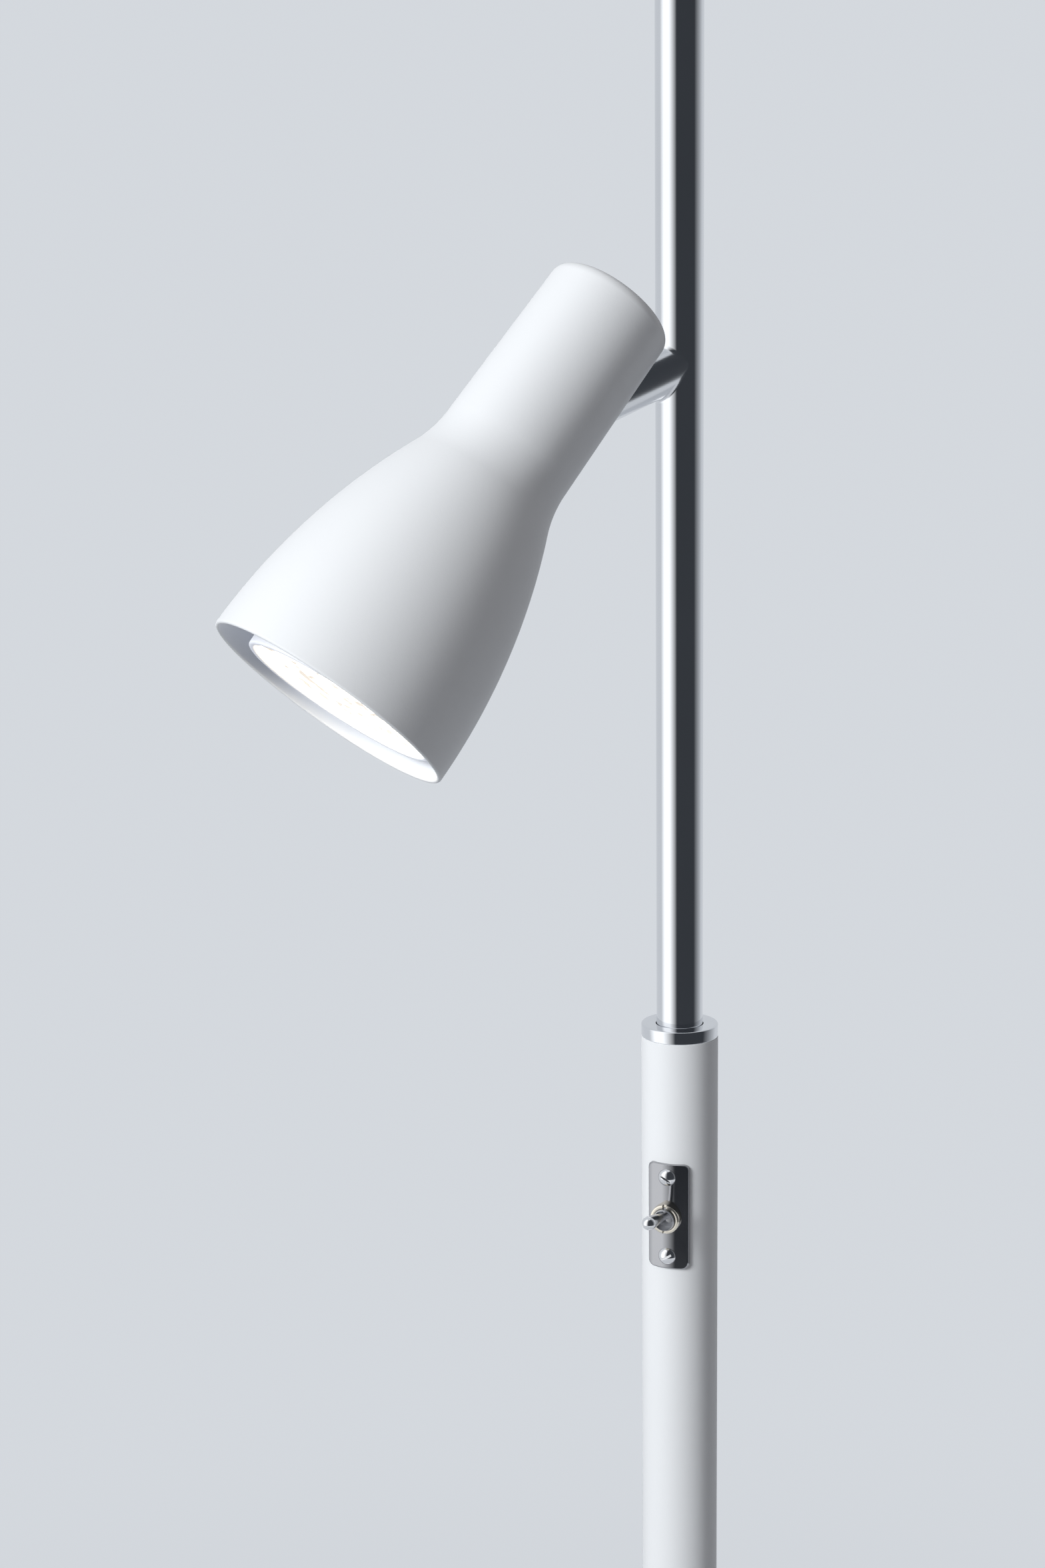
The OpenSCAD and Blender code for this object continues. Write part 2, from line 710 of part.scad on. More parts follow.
// Outline of the shade at a distance inside its outer face, from the cap's centre to the mouth
function shade_line(inset) = let (
        corner = [neck_top_r - cap_round, cap_round],
        crown = [0, crown_r - cap_crown],
        throat = [neck_r + throat_r, neck_len],
        bell = [mouth_r - bell_r, shade_len],
        edge_angle = asin(corner[0] / crown_r))
    concat(
        arc(crown, crown_r - inset, -90, -90 + edge_angle * 0.9, 6),
        arc(corner, cap_round - inset, -80, -2, 8),
        arc(throat, throat_r + inset, 180, 180 - bell_angle, 12),
        arc(bell, bell_r - inset, -bell_angle, 0, 40));

module shade() {
    outer = shade_line(0);
    inner = shade_line(shade_wall);
    lip = arc([mouth_r - shade_wall / 2, shade_len], shade_wall / 2, 30, 150, 4);
    back = [for (i = [len(inner) - 1:-1:0]) inner[i]];
    low_r = slot_w / 2;
    color("#f3f4f5") in_head() difference() {
        rotate_extrude($fn = 180) polygon(concat(outer, lip, back));
        // slot for the arm, round at its lower end
        translate([-slot_w / 2, -neck_r - 2, -cap_crown - 2])
            cube([slot_w, neck_r + 2 - slot_in, slot_low - low_r + cap_crown + 2]);
        translate([0, -slot_in, slot_low - low_r]) rotate([90, 0, 0])
            cylinder(r = low_r, h = neck_r + 2 - slot_in);
        translate([0, 0, -cap_crown - 2]) cylinder(r = cap_screw_d / 2 + fixed_gap, h = 6);
    }
}

// Low screw in the cap's centre, which holds the yoke
module cap_screw() {
    head_r = 3.6;
    head_h = 1.5;
    color("#d7d9dc") in_head() {
        translate([0, 0, -cap_crown]) cylinder(r = cap_screw_d / 2, h = cap_crown + yoke_web_u + yoke_t + 2);
        difference() {
            translate([0, 0, -cap_crown - head_h]) cylinder(r1 = head_r - 0.6, r2 = head_r, h = head_h);
            translate([0, 0, -cap_crown - head_h - eps]) cylinder(r = 1.25, h = 1 + eps, $fn = 6);
        }
    }
}

// Sheet-metal yoke: a web under the cap, two cheeks that hold the tilt pin, and two feet
module yoke() {
    web_half = 5;
    front = 9;
    foot_out = holder_screw_x + 3;
    color("#b9bbbe") in_head() difference() {
        union() {
            translate([-cheek_x - cheek_t, -web_half, yoke_web_u])
                cube([2 * (cheek_x + cheek_t), front + web_half, yoke_t]);
            for (s = [0, 1]) mirror([s, 0, 0]) {
                translate([cheek_x, 0, 0]) rotate([90, 0, 90]) linear_extrude(cheek_t) {
                    translate([1, yoke_web_u]) square([front - 1, yoke_foot_u + yoke_t - yoke_web_u]);
                    translate([-pivot_back, pivot_drop - tongue_r]) square([pivot_back + 1.5, 2 * tongue_r]);
                    translate([-pivot_back, pivot_drop]) circle(r = tongue_r);
                    translate([-web_half, pivot_drop + 6]) square([web_half + 1.5, yoke_foot_u + yoke_t - pivot_drop - 6]);
                }
                translate([cheek_x, -web_half, yoke_foot_u]) cube([foot_out - cheek_x, 2 * web_half, yoke_t]);
            }
        }
        translate([0, 0, -1]) cylinder(r = cap_screw_d / 2 + fixed_gap, h = 8);
        translate([0, -pivot_back, pivot_drop]) bar_x(tilt_pin_d / 2 + fixed_gap, -20, 20);
        for (s = [-1, 1]) translate([s * holder_screw_x, 0, yoke_foot_u - 1])
            cylinder(r = holder_screw_r + fixed_gap, h = yoke_t + 2);
    }
}

holder_screw_x = 9;
holder_screw_r = 1.5;

module friction_washers() {
    color("#ececea") in_head() translate([0, -pivot_back, pivot_drop]) for (s = [0, 1]) mirror([s, 0, 0])
        difference() {
            bar_x(tongue_r - 0.5, tongue_t / 2 + run_gap, cheek_x);
            bar_x(tilt_pin_d / 2 + fixed_gap, 0, 2 * cheek_x);
        }
}

module tilt_screw() {
    head_h = 2;
    color("#c9cacc") in_head() translate([0, -pivot_back, pivot_drop]) {
        bar_x(tilt_pin_d / 2, -cheek_x - cheek_t - 3.6, cheek_x + cheek_t);
        difference() {
            bar_x(3.5, cheek_x + cheek_t, cheek_x + cheek_t + head_h);
            translate([cheek_x + cheek_t + head_h - 0.9, -4, -0.4]) cube([2, 8, 0.8]);
        }
    }
}

module tilt_nut() {
    nut_h = 3;
    color("#c9cacc") in_head() translate([-cheek_x - cheek_t - nut_h, -pivot_back, pivot_drop])
        rotate([0, 90, 0]) difference() {
            cylinder(r = 4, h = nut_h, $fn = 6);
            translate([0, 0, -eps]) cylinder(r = tilt_pin_d / 2 + fixed_gap, h = nut_h + 2 * eps);
        }
}

pin_neck_r = 1.5;
pin_head_r = 2.5;
pin_neck_len = 4.2;
pin_head_len = 2.6;
turn_out = 40;
pin_gap = 0.45;
slot_depth = 7.2;

// Outline of a slot on the pins' circle, as wide as 2 r, over the angle that the lamp turns
module turn_slot(r) {
    track = pin_pitch / 2;
    far = 4 * track;
    intersection() {
        difference() {
            circle(r = track + r);
            circle(r = track - r);
        }
        polygon([[0, 0], [far, 0], far * [cos(turn_out / 2), sin(turn_out / 2)],
            far * [cos(turn_out), sin(turn_out)]]);
    }
    for (a = [0, turn_out]) rotate(a) translate([track, 0]) circle(r = r);
}

// Ceramic lampholder with two keyhole slots for the lamp's pins
module lampholder() {
    lip = holder_gap + pin_neck_len - pin_gap - 1.2;
    entry_r = pin_head_r + pin_gap - 0.1;
    color("#f0eee8") in_head() translate([0, 0, holder_u]) difference() {
        union() {
            cylinder(r = holder_d / 2, h = holder_h - 1);
            translate([0, 0, holder_h - 1]) cylinder(r1 = holder_d / 2, r2 = holder_d / 2 - 1, h = 1);
        }
        for (s = [0, 180]) rotate([0, 0, s]) {
            translate([0, 0, holder_h - slot_depth]) linear_extrude(slot_depth - lip)
                turn_slot(pin_head_r + pin_gap);
            translate([0, 0, holder_h - lip - 0.3]) linear_extrude(lip + 0.3 + eps) {
                turn_slot(pin_neck_r + pin_gap);
                rotate(turn_out) translate([pin_pitch / 2, 0]) circle(r = entry_r);
            }
        }
        for (s = [-1, 1]) translate([s * holder_screw_x, 0, -eps])
            cylinder(r = holder_screw_r + fixed_gap, h = 7.5 + eps);
    }
}

module holder_screws() {
    head_h = 1.8;
    color("#c9cacc") in_head() for (s = [-1, 1]) translate([s * holder_screw_x, 0, yoke_foot_u]) {
        cylinder(r = holder_screw_r, h = yoke_t + 7);
        translate([0, 0, -head_h]) difference() {
            cylinder(r = 2.75, h = head_h);
            translate([-3, -0.4, -eps]) cube([6, 0.8, 0.8 + eps]);
        }
    }
}

// Spring contacts at the bottom of the two slots
module holder_contacts() {
    color("#c8a24a") in_head() translate([0, 0, holder_u + holder_h - slot_depth])
        linear_extrude(0.5) for (s = [0, 180]) rotate(s) turn_slot(1.2);
}

// ---- Lamp ----

rim_h = 7;
lamp_wall = 1.4;
base_h = 8;
board_t = 1.6;

module lamp_base() {
    color("#f4f4f2") in_lamp() {
        difference() {
            rotate_extrude() polygon([[0, 0], [lamp_base_d / 2 - 0.8, 0], [lamp_base_d / 2, 0.8],
                [lamp_base_d / 2, base_h], [0, base_h]]);
            for (s = [-1, 1]) translate([s * pin_pitch / 2, 0, -eps]) cylinder(r = pin_neck_r + fixed_gap, h = 4 + eps);
        }
    }
}

module lamp_pins() {
    color("#c9cacc") in_lamp() for (s = [-1, 1]) translate([s * pin_pitch / 2, 0, 0]) {
        translate([0, 0, -pin_neck_len]) cylinder(r = pin_neck_r, h = pin_neck_len + 3.8);
        translate([0, 0, -pin_neck_len - pin_head_len]) cylinder(r = pin_head_r, h = pin_head_len);
    }
}

// Conical shell from the base to the rim, open in front
function shell_line(inset) = let (r0 = lamp_base_d / 2, r1 = lamp_d / 2, top = lamp_len - rim_h)
    concat([for (i = [0:12]) let (t = i / 12)
        [r0 - inset + (r1 - r0) * pow(sin(90 * t), 1.15), base_h + (top - base_h) * t]]);

module lamp_shell() {
    outer = shell_line(0);
    inner = shell_line(lamp_wall);
    back = [for (i = [len(inner) - 1:-1:0]) inner[i]];
    rim_r = lamp_d / 2;
    color("#f6f6f4") in_lamp() rotate_extrude($fn = 120) polygon(concat(outer,
        [[rim_r, lamp_len - 0.6], [rim_r - 0.5, lamp_len], [rim_r - lamp_wall + 0.3, lamp_len],
         [rim_r - lamp_wall, lamp_len - 0.4]], back));
}

board_z = lamp_len - rim_h - 6;
board_r = lamp_base_d / 2 - lamp_wall
    + (lamp_d - lamp_base_d) / 2 * pow(sin(90 * (board_z - base_h) / (lamp_len - rim_h - base_h)), 1.15) - 0.6;

module lamp_board() {
    color("#f2f2ef") in_lamp() translate([0, 0, board_z]) {
        cylinder(r = board_r, h = board_t);
    }
}

// Light-emitting chips in a ring round one in the middle
module lamp_leds() {
    chip = 2.8;
    color("#ffe9b0") in_lamp() translate([0, 0, board_z + board_t]) {
        translate([-chip / 2, -chip / 2, 0]) cube([chip, chip, 0.7]);
        for (i = [0:7]) rotate([0, 0, i * 45]) translate([board_r * 0.62 - chip / 2, -chip / 2, 0])
            cube([chip, chip, 0.7]);
    }
}

// Clear front lens that rests in the rim
module lamp_lens() {
    lens_t = 2;
    color("#fff7e6") in_lamp() translate([0, 0, lamp_len - lens_depth - lens_t])
        cylinder(r = lamp_d / 2 - lamp_wall - fixed_gap, h = lens_t, $fn = 120);
}

floor_pad();
foot_plate();
jack_screw();
jack_wheel();
lower_plug();
plug_screw();
lower_tube();
inlet_bush();
guide_bush();
collar();
switch_plate();
plate_screws();
switch_body();
switch_terminals();
switch_bushing();
switch_nut();
toggle_lever();
upper_tube();
arm();
arm_tongue();
lamp_leads();
top_bush();
spring_seat();
seat_pin();
plunger_spring();
plunger_slider();
plunger_rod();
ceiling_plate();
ceiling_pad();
pivot_washer();
pivot_screw();
shade();
cap_screw();
yoke();
friction_washers();
tilt_screw();
tilt_nut();
lampholder();
holder_screws();
holder_contacts();
lamp_base();
lamp_pins();
lamp_shell();
lamp_board();
lamp_leds();
lamp_lens();
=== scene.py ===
# %% [markdown]
# # A tension pole lamp, dressed around its solids
# The lamp is a slim pole between floor and ceiling: a white tube below, a polished tube above, and one
# white spot shade on a short arm. Every size is that of the solids. This lesson builds the surfaces that
# one sees, gives each a finish worked out by nodes, and sets up a plain studio around them.
# Lengths are written in millimetres, as on a maker's drawing, and turned to metres where a mesh is made.

# %% Load the solids
import math

import bmesh
import bpy
import numpy as np
from mathutils import Matrix, Vector


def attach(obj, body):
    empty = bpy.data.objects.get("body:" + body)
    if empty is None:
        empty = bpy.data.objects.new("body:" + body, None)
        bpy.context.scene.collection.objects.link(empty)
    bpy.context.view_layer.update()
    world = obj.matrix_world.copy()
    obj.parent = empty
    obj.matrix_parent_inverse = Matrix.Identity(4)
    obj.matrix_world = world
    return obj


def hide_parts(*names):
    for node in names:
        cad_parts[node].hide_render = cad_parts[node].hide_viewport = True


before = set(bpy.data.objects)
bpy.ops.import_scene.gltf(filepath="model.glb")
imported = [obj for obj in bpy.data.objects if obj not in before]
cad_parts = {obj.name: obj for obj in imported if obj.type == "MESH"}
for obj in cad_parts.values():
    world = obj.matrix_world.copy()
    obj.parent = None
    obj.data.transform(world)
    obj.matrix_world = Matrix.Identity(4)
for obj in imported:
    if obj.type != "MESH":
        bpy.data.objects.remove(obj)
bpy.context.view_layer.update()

# %% [markdown]
# ## The camera
# A camera has a place, a direction and a lens. These were fitted to the outline of the shade, to the
# edges of both tubes and to the switch plate, so the picture frames the middle of the pole only.

# %% Place the camera
CAMERA_PLACE = (0.4694, -0.2964, 1.4173)
CAMERA_TURN = 61.88
CAMERA_DROP = 10.08
CAMERA_ROLL = -0.74
LENS_MM = 50.5

scene = bpy.context.scene
scene.view_settings.view_transform = "Standard"
camera = bpy.data.objects.new("camera", bpy.data.cameras.new("camera"))
scene.collection.objects.link(camera)
camera.matrix_world = Matrix.Translation(CAMERA_PLACE)
for degrees, axis in ((CAMERA_TURN, "Z"), (90 - CAMERA_DROP, "X"), (CAMERA_ROLL, "Z")):
    camera.matrix_world = camera.matrix_world @ Matrix.Rotation(math.radians(degrees), 4, axis)
camera.data.lens = LENS_MM
scene.camera = camera

# %% [markdown]
# ## Places on the lamp
# Each group of pieces has a local frame: the pole stands on the floor, the arm slopes down from the
# pole, the shade hangs on the arm and the lamp sits in the shade. A frame is a 4 by 4 matrix, and a
# piece is drawn in its own frame and carried over once, so its object stays at the origin.

# %% Local frames
MM = 0.001
ROUND_COLUMNS = 160
COLLAR_TOP = 1255.3
ARM_Z = 1424.0
ARM_SLOPE = 21.5
PIVOT_REACH = 35.4
PIVOT_BACK, PIVOT_DROP = 7.0, 30.0
HEAD_TILT = 49.7
LAMP_DEPTH = 68.4
LAMP_SAG = 2.4
SWITCH_Z = 1205.8
SWITCH_TURN = 40.0


def shift(x, y, z):
    """A move by x, y and z millimetres."""
    return Matrix.Translation((x, y, z))


def spin(degrees, axis):
    """A turn about one of the frame's axes."""
    return Matrix.Rotation(math.radians(degrees), 4, axis)


POLE = Matrix.Identity(4)
ARM = shift(0, 0, ARM_Z) @ spin(90 + ARM_SLOPE, "X")
PIVOT = shift(0, -PIVOT_REACH * math.cos(math.radians(ARM_SLOPE)),
              ARM_Z - PIVOT_REACH * math.sin(math.radians(ARM_SLOPE)))
HEAD = PIVOT @ spin(90 + HEAD_TILT, "X") @ shift(0, PIVOT_BACK, -PIVOT_DROP)
LAMP = HEAD @ shift(0, 0, LAMP_DEPTH) @ spin(LAMP_SAG, "X")
SWITCH = shift(0, 0, SWITCH_Z) @ spin(SWITCH_TURN - 90, "Z")
# The same place with +Z pointing outwards, for parts that are turned about the switch's axis
SWITCH_OUT = SWITCH @ spin(90, "Y")
REAR = spin(90, "Z")
print("shade's cap", [round(v, 1) for v in HEAD.translation], "lamp's base", [round(v, 1) for v in LAMP.translation])

# %% [markdown]
# ## From formulas to meshes
# Every new piece is a grid of points that numpy works out as one array: rows along a profile, columns
# round an axis. One helper joins neighbouring points with faces, closes the seam where the last column
# meets the first, and merges the points that meet at a pole.

# %% Grid surfaces
def grid_faces(rows, columns, wrap_rows, wrap_columns):
    """Quads between neighbours of a rows by columns grid, numbered row by row."""
    r = np.arange(rows if wrap_rows else rows - 1)
    c = np.arange(columns if wrap_columns else columns - 1)
    r, c = np.meshgrid(r, c, indexing="ij")
    r2, c2 = (r + 1) % rows, (c + 1) % columns
    return np.stack([r * columns + c, r * columns + c2, r2 * columns + c2, r2 * columns + c], -1).reshape(-1, 4)


def make_piece(name, grids, place, sharp=38.0):
    """A mesh object from grids, each (points, wrap_rows, wrap_columns), with points in millimetres.

    Points that coincide are merged, faces are turned outwards, and edges sharper than the given angle
    stay sharp while the rest is shaded smooth."""
    points, faces, start = [], [], 0
    for grid, wrap_rows, wrap_columns in grids:
        rows, columns = grid.shape[:2]
        points.append(grid.reshape(-1, 3))
        faces.append(grid_faces(rows, columns, wrap_rows, wrap_columns) + start)
        start += rows * columns
    points = np.concatenate(points) @ np.array(place.to_3x3()).T + np.array(place.translation)
    mesh = bpy.data.meshes.new(name)
    mesh.from_pydata(points * MM, [], np.concatenate(faces).tolist())
    return finish_mesh(name, mesh, sharp)


def finish_mesh(name, mesh, sharp):
    """Merges doubles, points the faces outwards, shades smooth up to the sharp angle and adds the object."""
    shape = bmesh.new()
    shape.from_mesh(mesh)
    bmesh.ops.remove_doubles(shape, verts=shape.verts, dist=2e-6)
    bmesh.ops.dissolve_degenerate(shape, edges=shape.edges, dist=1e-7)
    bmesh.ops.recalc_face_normals(shape, faces=shape.faces)
    shape.to_mesh(mesh)
    shape.free()
    mesh.shade_smooth()
    mesh.set_sharp_from_angle(angle=math.radians(sharp))
    piece = bpy.data.objects.new(name, mesh)
    scene.collection.objects.link(piece)
    return piece


# %% Profiles and turning
def eased(corners, steps=4):
    """A profile through corners (across, along, radius), with each corner rounded by its radius.

    A corner of radius e becomes a curve from the point e before it to the point e after it:
    a quadratic blend (1-t)^2 a + 2t(1-t) b + t^2 c, which a turner would call an eased edge."""
    corners = np.array(corners, float)
    spots, radii = corners[:, :2], corners[:, 2]
    before, after = np.roll(spots, 1, 0) - spots, np.roll(spots, -1, 0) - spots
    line = []
    t = np.linspace(0, 1, steps + 1)[:, None]
    for spot, radius, b, a in zip(spots, radii, before, after):
        if radius == 0:
            line.append(spot[None])
            continue
        first = spot + b / np.hypot(*b) * radius
        last = spot + a / np.hypot(*a) * radius
        line.append((1 - t) ** 2 * first + 2 * t * (1 - t) * spot + t ** 2 * last)
    return np.concatenate(line)


def steps_round(count):
    """Angles of equal steps once round a circle: 2 pi k / count."""
    return np.arange(count) * 2 * np.pi / count


def turned(profile, columns=96):
    """Points of a profile (across, along) turned about Z: (r cos a, r sin a, z) for equal steps of a."""
    angle = steps_round(columns)
    across, along = profile[:, :1], profile[:, 1:]
    return np.stack([across * np.cos(angle), across * np.sin(angle), along + 0 * angle], -1)


def turned_piece(name, profile, place, columns=96, ring=False, sharp=38.0):
    """A piece turned from a profile. A ring's profile closes on itself round a bore."""
    return make_piece(name, [(turned(np.asarray(profile, float), columns), ring, True)], place, sharp)


def arc(centre, radius, start, end, steps):
    """Points of an arc: centre + radius (cos a, sin a), from start to end in degrees."""
    a = np.radians(np.linspace(start, end, steps + 1))
    return np.stack([centre[0] + radius * np.cos(a), centre[1] + radius * np.sin(a)], -1)


# %% [markdown]
# Holes are cut with a boolean, which leaves odd faces round them, and smooth shading would dent the
# metal there. The cure is to say what direction the true surface faces at every corner, from its formula,
# and to leave the cut's own walls flat.

# %% Holes, and true normals after cutting them
def cut(piece, tools):
    """Takes each tool's shape out of the piece for good, and deletes the tools."""
    for tool in tools:
        modifier = piece.modifiers.new("cut", "BOOLEAN")
        modifier.operation = "DIFFERENCE"
        modifier.solver = "EXACT"
        modifier.object = tool
    whole = piece.data
    graph = bpy.context.evaluated_depsgraph_get()
    piece.data = bpy.data.meshes.new_from_object(piece.evaluated_get(graph))
    piece.modifiers.clear()
    bpy.data.meshes.remove(whole)
    for tool in tools:
        bpy.data.objects.remove(tool)


def true_normals(piece, place, formula, agree=0.85):
    """Sets each face corner's normal to the formula's, where the face agrees with it, or else to the face's.

    formula takes points in the piece's own frame, in millimetres, and gives unit normals."""
    mesh = piece.data
    count, corners = len(mesh.vertices), len(mesh.loops)
    points = np.empty(count * 3)
    mesh.vertices.foreach_get("co", points)
    owner = np.empty(corners, np.int32)
    mesh.loops.foreach_get("vertex_index", owner)
    totals = np.empty(len(mesh.polygons), np.int32)
    mesh.polygons.foreach_get("loop_total", totals)
    flat = np.empty(len(mesh.polygons) * 3)
    mesh.polygons.foreach_get("normal", flat)
    flat = np.repeat(flat.reshape(-1, 3), totals, 0)
    turn = np.array(place.to_3x3())
    local = (points.reshape(-1, 3) / MM - np.array(place.translation)) @ turn
    exact = (formula(local) @ turn.T)[owner]
    match = (exact * flat).sum(1, keepdims=True)
    normals = np.where(np.abs(match) > agree, exact * np.sign(match), flat)
    mesh.normals_split_custom_set(normals.tolist())


def round_normals(points):
    """The normals of round tubes about Z: straight out from the axis."""
    across = np.hypot(points[:, 0], points[:, 1])[:, None] + 1e-9
    return np.stack([points[:, 0], points[:, 1], 0 * points[:, 0]], -1) / across


# %% [markdown]
# ## Finishes as expressions
# A finish is a small net of nodes. Wrapping a socket in a class that knows + - * / lets the net be
# written as sums: each operation on a varying value adds one Math node, and plain numbers stay numbers.

# %% Sockets that can be added up
class Wire:
    """The output of a node, for use in sums: an expression on it adds its Math nodes."""

    def __init__(self, finish, socket):
        self.finish, self.socket = finish, socket

    def _math(self, operation, a, b=0.0):
        return self.finish.node("ShaderNodeMath", {"operation": operation}, {0: a, 1: b})

    def __add__(self, other):
        return self._math("ADD", self, other)

    __radd__ = __add__

    def __sub__(self, other):
        return self._math("SUBTRACT", self, other)

    def __rsub__(self, other):
        return self._math("SUBTRACT", other, self)

    def __mul__(self, other):
        return self._math("MULTIPLY", self, other)

    __rmul__ = __mul__

    def __truediv__(self, other):
        return self._math("DIVIDE", self, other)

    def __pow__(self, other):
        return self._math("POWER", self, other)


class Finish:
    """One procedural material. node() adds any node; the constants are set on the shader's own sockets."""

    def __init__(self, name, **constants):
        self.material = bpy.data.materials.new(name)
        self.material.use_nodes = True
        self.tree = self.material.node_tree
        self.tree.nodes.clear()
        self.output = self.tree.nodes.new("ShaderNodeOutputMaterial")
        self.shader = self.tree.nodes.new("ShaderNodeBsdfPrincipled")
        self.tree.links.new(self.shader.outputs[0], self.output.inputs[0])
        for socket, value in constants.items():
            self.set(self.shader, socket.replace("_", " "), value)
        self.place = self.node("ShaderNodeTexCoord", out="Object")

    def set(self, node, socket, value):
        """Gives a node's socket a value or a link."""
        if isinstance(value, Wire):
            self.tree.links.new(value.socket, node.inputs[socket])
        elif isinstance(value, tuple) and len(value) == 3 and node.inputs[socket].type == "RGBA":
            node.inputs[socket].default_value = value + (1.0,)
        else:
            node.inputs[socket].default_value = value

    def node(self, kind, settings=None, inputs=None, out=0):
        """Adds a node: its settings first, a ramp's stops among them, then its sockets' values or links."""
        node = self.tree.nodes.new(kind)
        for key, value in (settings or {}).items():
            if key == "stops":
                while len(node.color_ramp.elements) < len(value):
                    node.color_ramp.elements.new(0.5)
                for element, (at, color) in zip(node.color_ramp.elements, value):
                    element.position, element.color = at, tuple(color) + (1.0,)
            else:
                setattr(node, key, value)
        for socket, value in (inputs or {}).items():
            self.set(node, socket, value)
        return Wire(self, node.outputs[out])

    def stretched(self, x, y, z):
        """The piece's own coordinates, scaled along each axis."""
        return self.node("ShaderNodeMapping", {"vector_type": "POINT"}, {"Vector": self.place, "Scale": (x, y, z)})

    def noise(self, per_metre, detail=2.0, rough=0.5, where=None):
        """Cloudy noise from 0 to 1 with the given number of blobs in a metre."""
        return self.node("ShaderNodeTexNoise", None,
                         {"Vector": where or self.place, "Scale": per_metre, "Detail": detail, "Roughness": rough})

    def blend(self, amount, low, high):
        """A colour between two, as amount goes from 0 to 1."""
        return self.node("ShaderNodeMix", {"data_type": "RGBA"}, {0: amount, 6: low, 7: high}, out=2)

    def drive(self, **sockets):
        """Links varying values to the shader's sockets."""
        for socket, value in sockets.items():
            self.set(self.shader, socket.replace("_", " "), value)
        return self

    def relief(self, height, depth_mm, strength=1.0):
        """A fine relief that the surface is too smooth to have in its mesh."""
        bump = self.node("ShaderNodeBump", None,
                         {"Height": height, "Distance": depth_mm * MM, "Strength": strength})
        return self.drive(Normal=bump)


finishes = {}


def store(key, finish):
    """Keeps a finish under its plain name."""
    finishes[key] = finish.material
    print("finish", key, "with", len(finish.tree.nodes), "nodes")


# %% [markdown]
# ## White powder coat
# The shade and the lower tube are steel, sprayed with powder and baked. Close up, that skin is a fine
# orange peel: it scatters a highlight into a soft sheen. Two sizes of noise give the peel its relief,
# and a slow third one changes the gloss a little, as handling does.

# %% White powder coat
def powder_coat():
    """Satin paint: two sizes of noise as relief, a slow one for tone and gloss."""
    finish = Finish("white_powder_coat", IOR=1.5)
    peel = finish.noise(1100, 2.0) * 0.7 + finish.noise(3400, 1.0) * 0.3
    haze = finish.noise(9, 3.0)
    finish.drive(Base_Color=finish.blend(haze, (0.77, 0.782, 0.797), (0.805, 0.815, 0.827)),
                 Roughness=0.44 + haze * 0.1)
    finish.relief(peel, 0.05, 0.5)
    store("white", finish)


powder_coat()

# %% [markdown]
# ## Polished chrome
# Chrome has no colour of its own beyond a cool grey: it shows the room. What makes it real is what
# disturbs the mirror: faint marks of the polishing belt round the tube, and a breath of haze. The arm
# is hand-finished after brazing, so it is satin.

# %% Chrome
ALL_WAYS = (900.0, 900.0, 900.0)


def chrome(key, color, rough, marks=(60.0, 60.0, 900.0)):
    """A mirror disturbed by belt marks, whose number in a metre is given for each axis."""
    finish = Finish("chrome_" + key, Metallic=1.0)
    belt = finish.noise(1.0, 3.0, where=finish.stretched(*marks))
    haze = finish.noise(35, 4.0)
    dim = tuple(v * 0.92 for v in color)
    finish.drive(Base_Color=finish.blend(haze, dim, color), Roughness=rough + belt * 0.035 + haze ** 3 * 0.08)
    finish.relief(belt, 0.004, 0.25)
    store(key, finish)


chrome("chrome", (0.8, 0.81, 0.83), 0.045)
chrome("satin_chrome", (0.82, 0.83, 0.85), 0.17, ALL_WAYS)
chrome("small_chrome", (0.88, 0.88, 0.89), 0.13, ALL_WAYS)
chrome("nickel", (0.86, 0.8, 0.69), 0.16, ALL_WAYS)
chrome("dark_chrome", (0.4, 0.4, 0.413), 0.08, (500.0, 500.0, 120.0))

# %% [markdown]
# ## Plain metals
# Zinc-plated screws, sheet and wire are duller: the plating is grainy and slightly blotched. Brass
# and turned aluminium use the same net with their own colours.

# %% Plated, turned and sheet metal
def plain_metal(key, color, rough, grain=700.0):
    """A duller metal: blotches change its tone, a fine grain its gloss and relief."""
    finish = Finish(key, Metallic=1.0)
    blotch = finish.noise(120, 4.0, 0.6)
    fine = finish.noise(grain, 2.0)
    dim = tuple(v * 0.8 for v in color)
    finish.drive(Base_Color=finish.blend(blotch, dim, color), Roughness=rough + fine * 0.14 + blotch * 0.08)
    finish.relief(fine, 0.02, 0.4)
    store(key, finish)


plain_metal("zinc", (0.62, 0.63, 0.66), 0.24)
plain_metal("aluminium", (0.66, 0.67, 0.69), 0.2, 1500.0)
plain_metal("sheet", (0.55, 0.56, 0.58), 0.3, 400.0)
plain_metal("wire", (0.42, 0.43, 0.45), 0.3)
plain_metal("brass", (0.74, 0.56, 0.27), 0.24)

# %% [markdown]
# ## Rubber, plastics and ceramic
# These are matt skins that differ in grain: moulded rubber has a dusty bloom, moulded plastic a spark
# eroded texture, nylon is waxy, and the lampholder's ceramic has fine pores.

# %% Moulded skins
def moulded(key, dark, light, rough, grain, depth):
    """A matt skin: a bloom between two tones, and a moulded grain of the given depth in millimetres."""
    finish = Finish(key)
    bloom = finish.noise(45, 4.0, 0.6)
    texture = finish.noise(grain, 2.0)
    finish.drive(Base_Color=finish.blend(bloom, dark, light), Roughness=rough + bloom * 0.12)
    finish.relief(texture, depth, 0.6)
    store(key, finish)


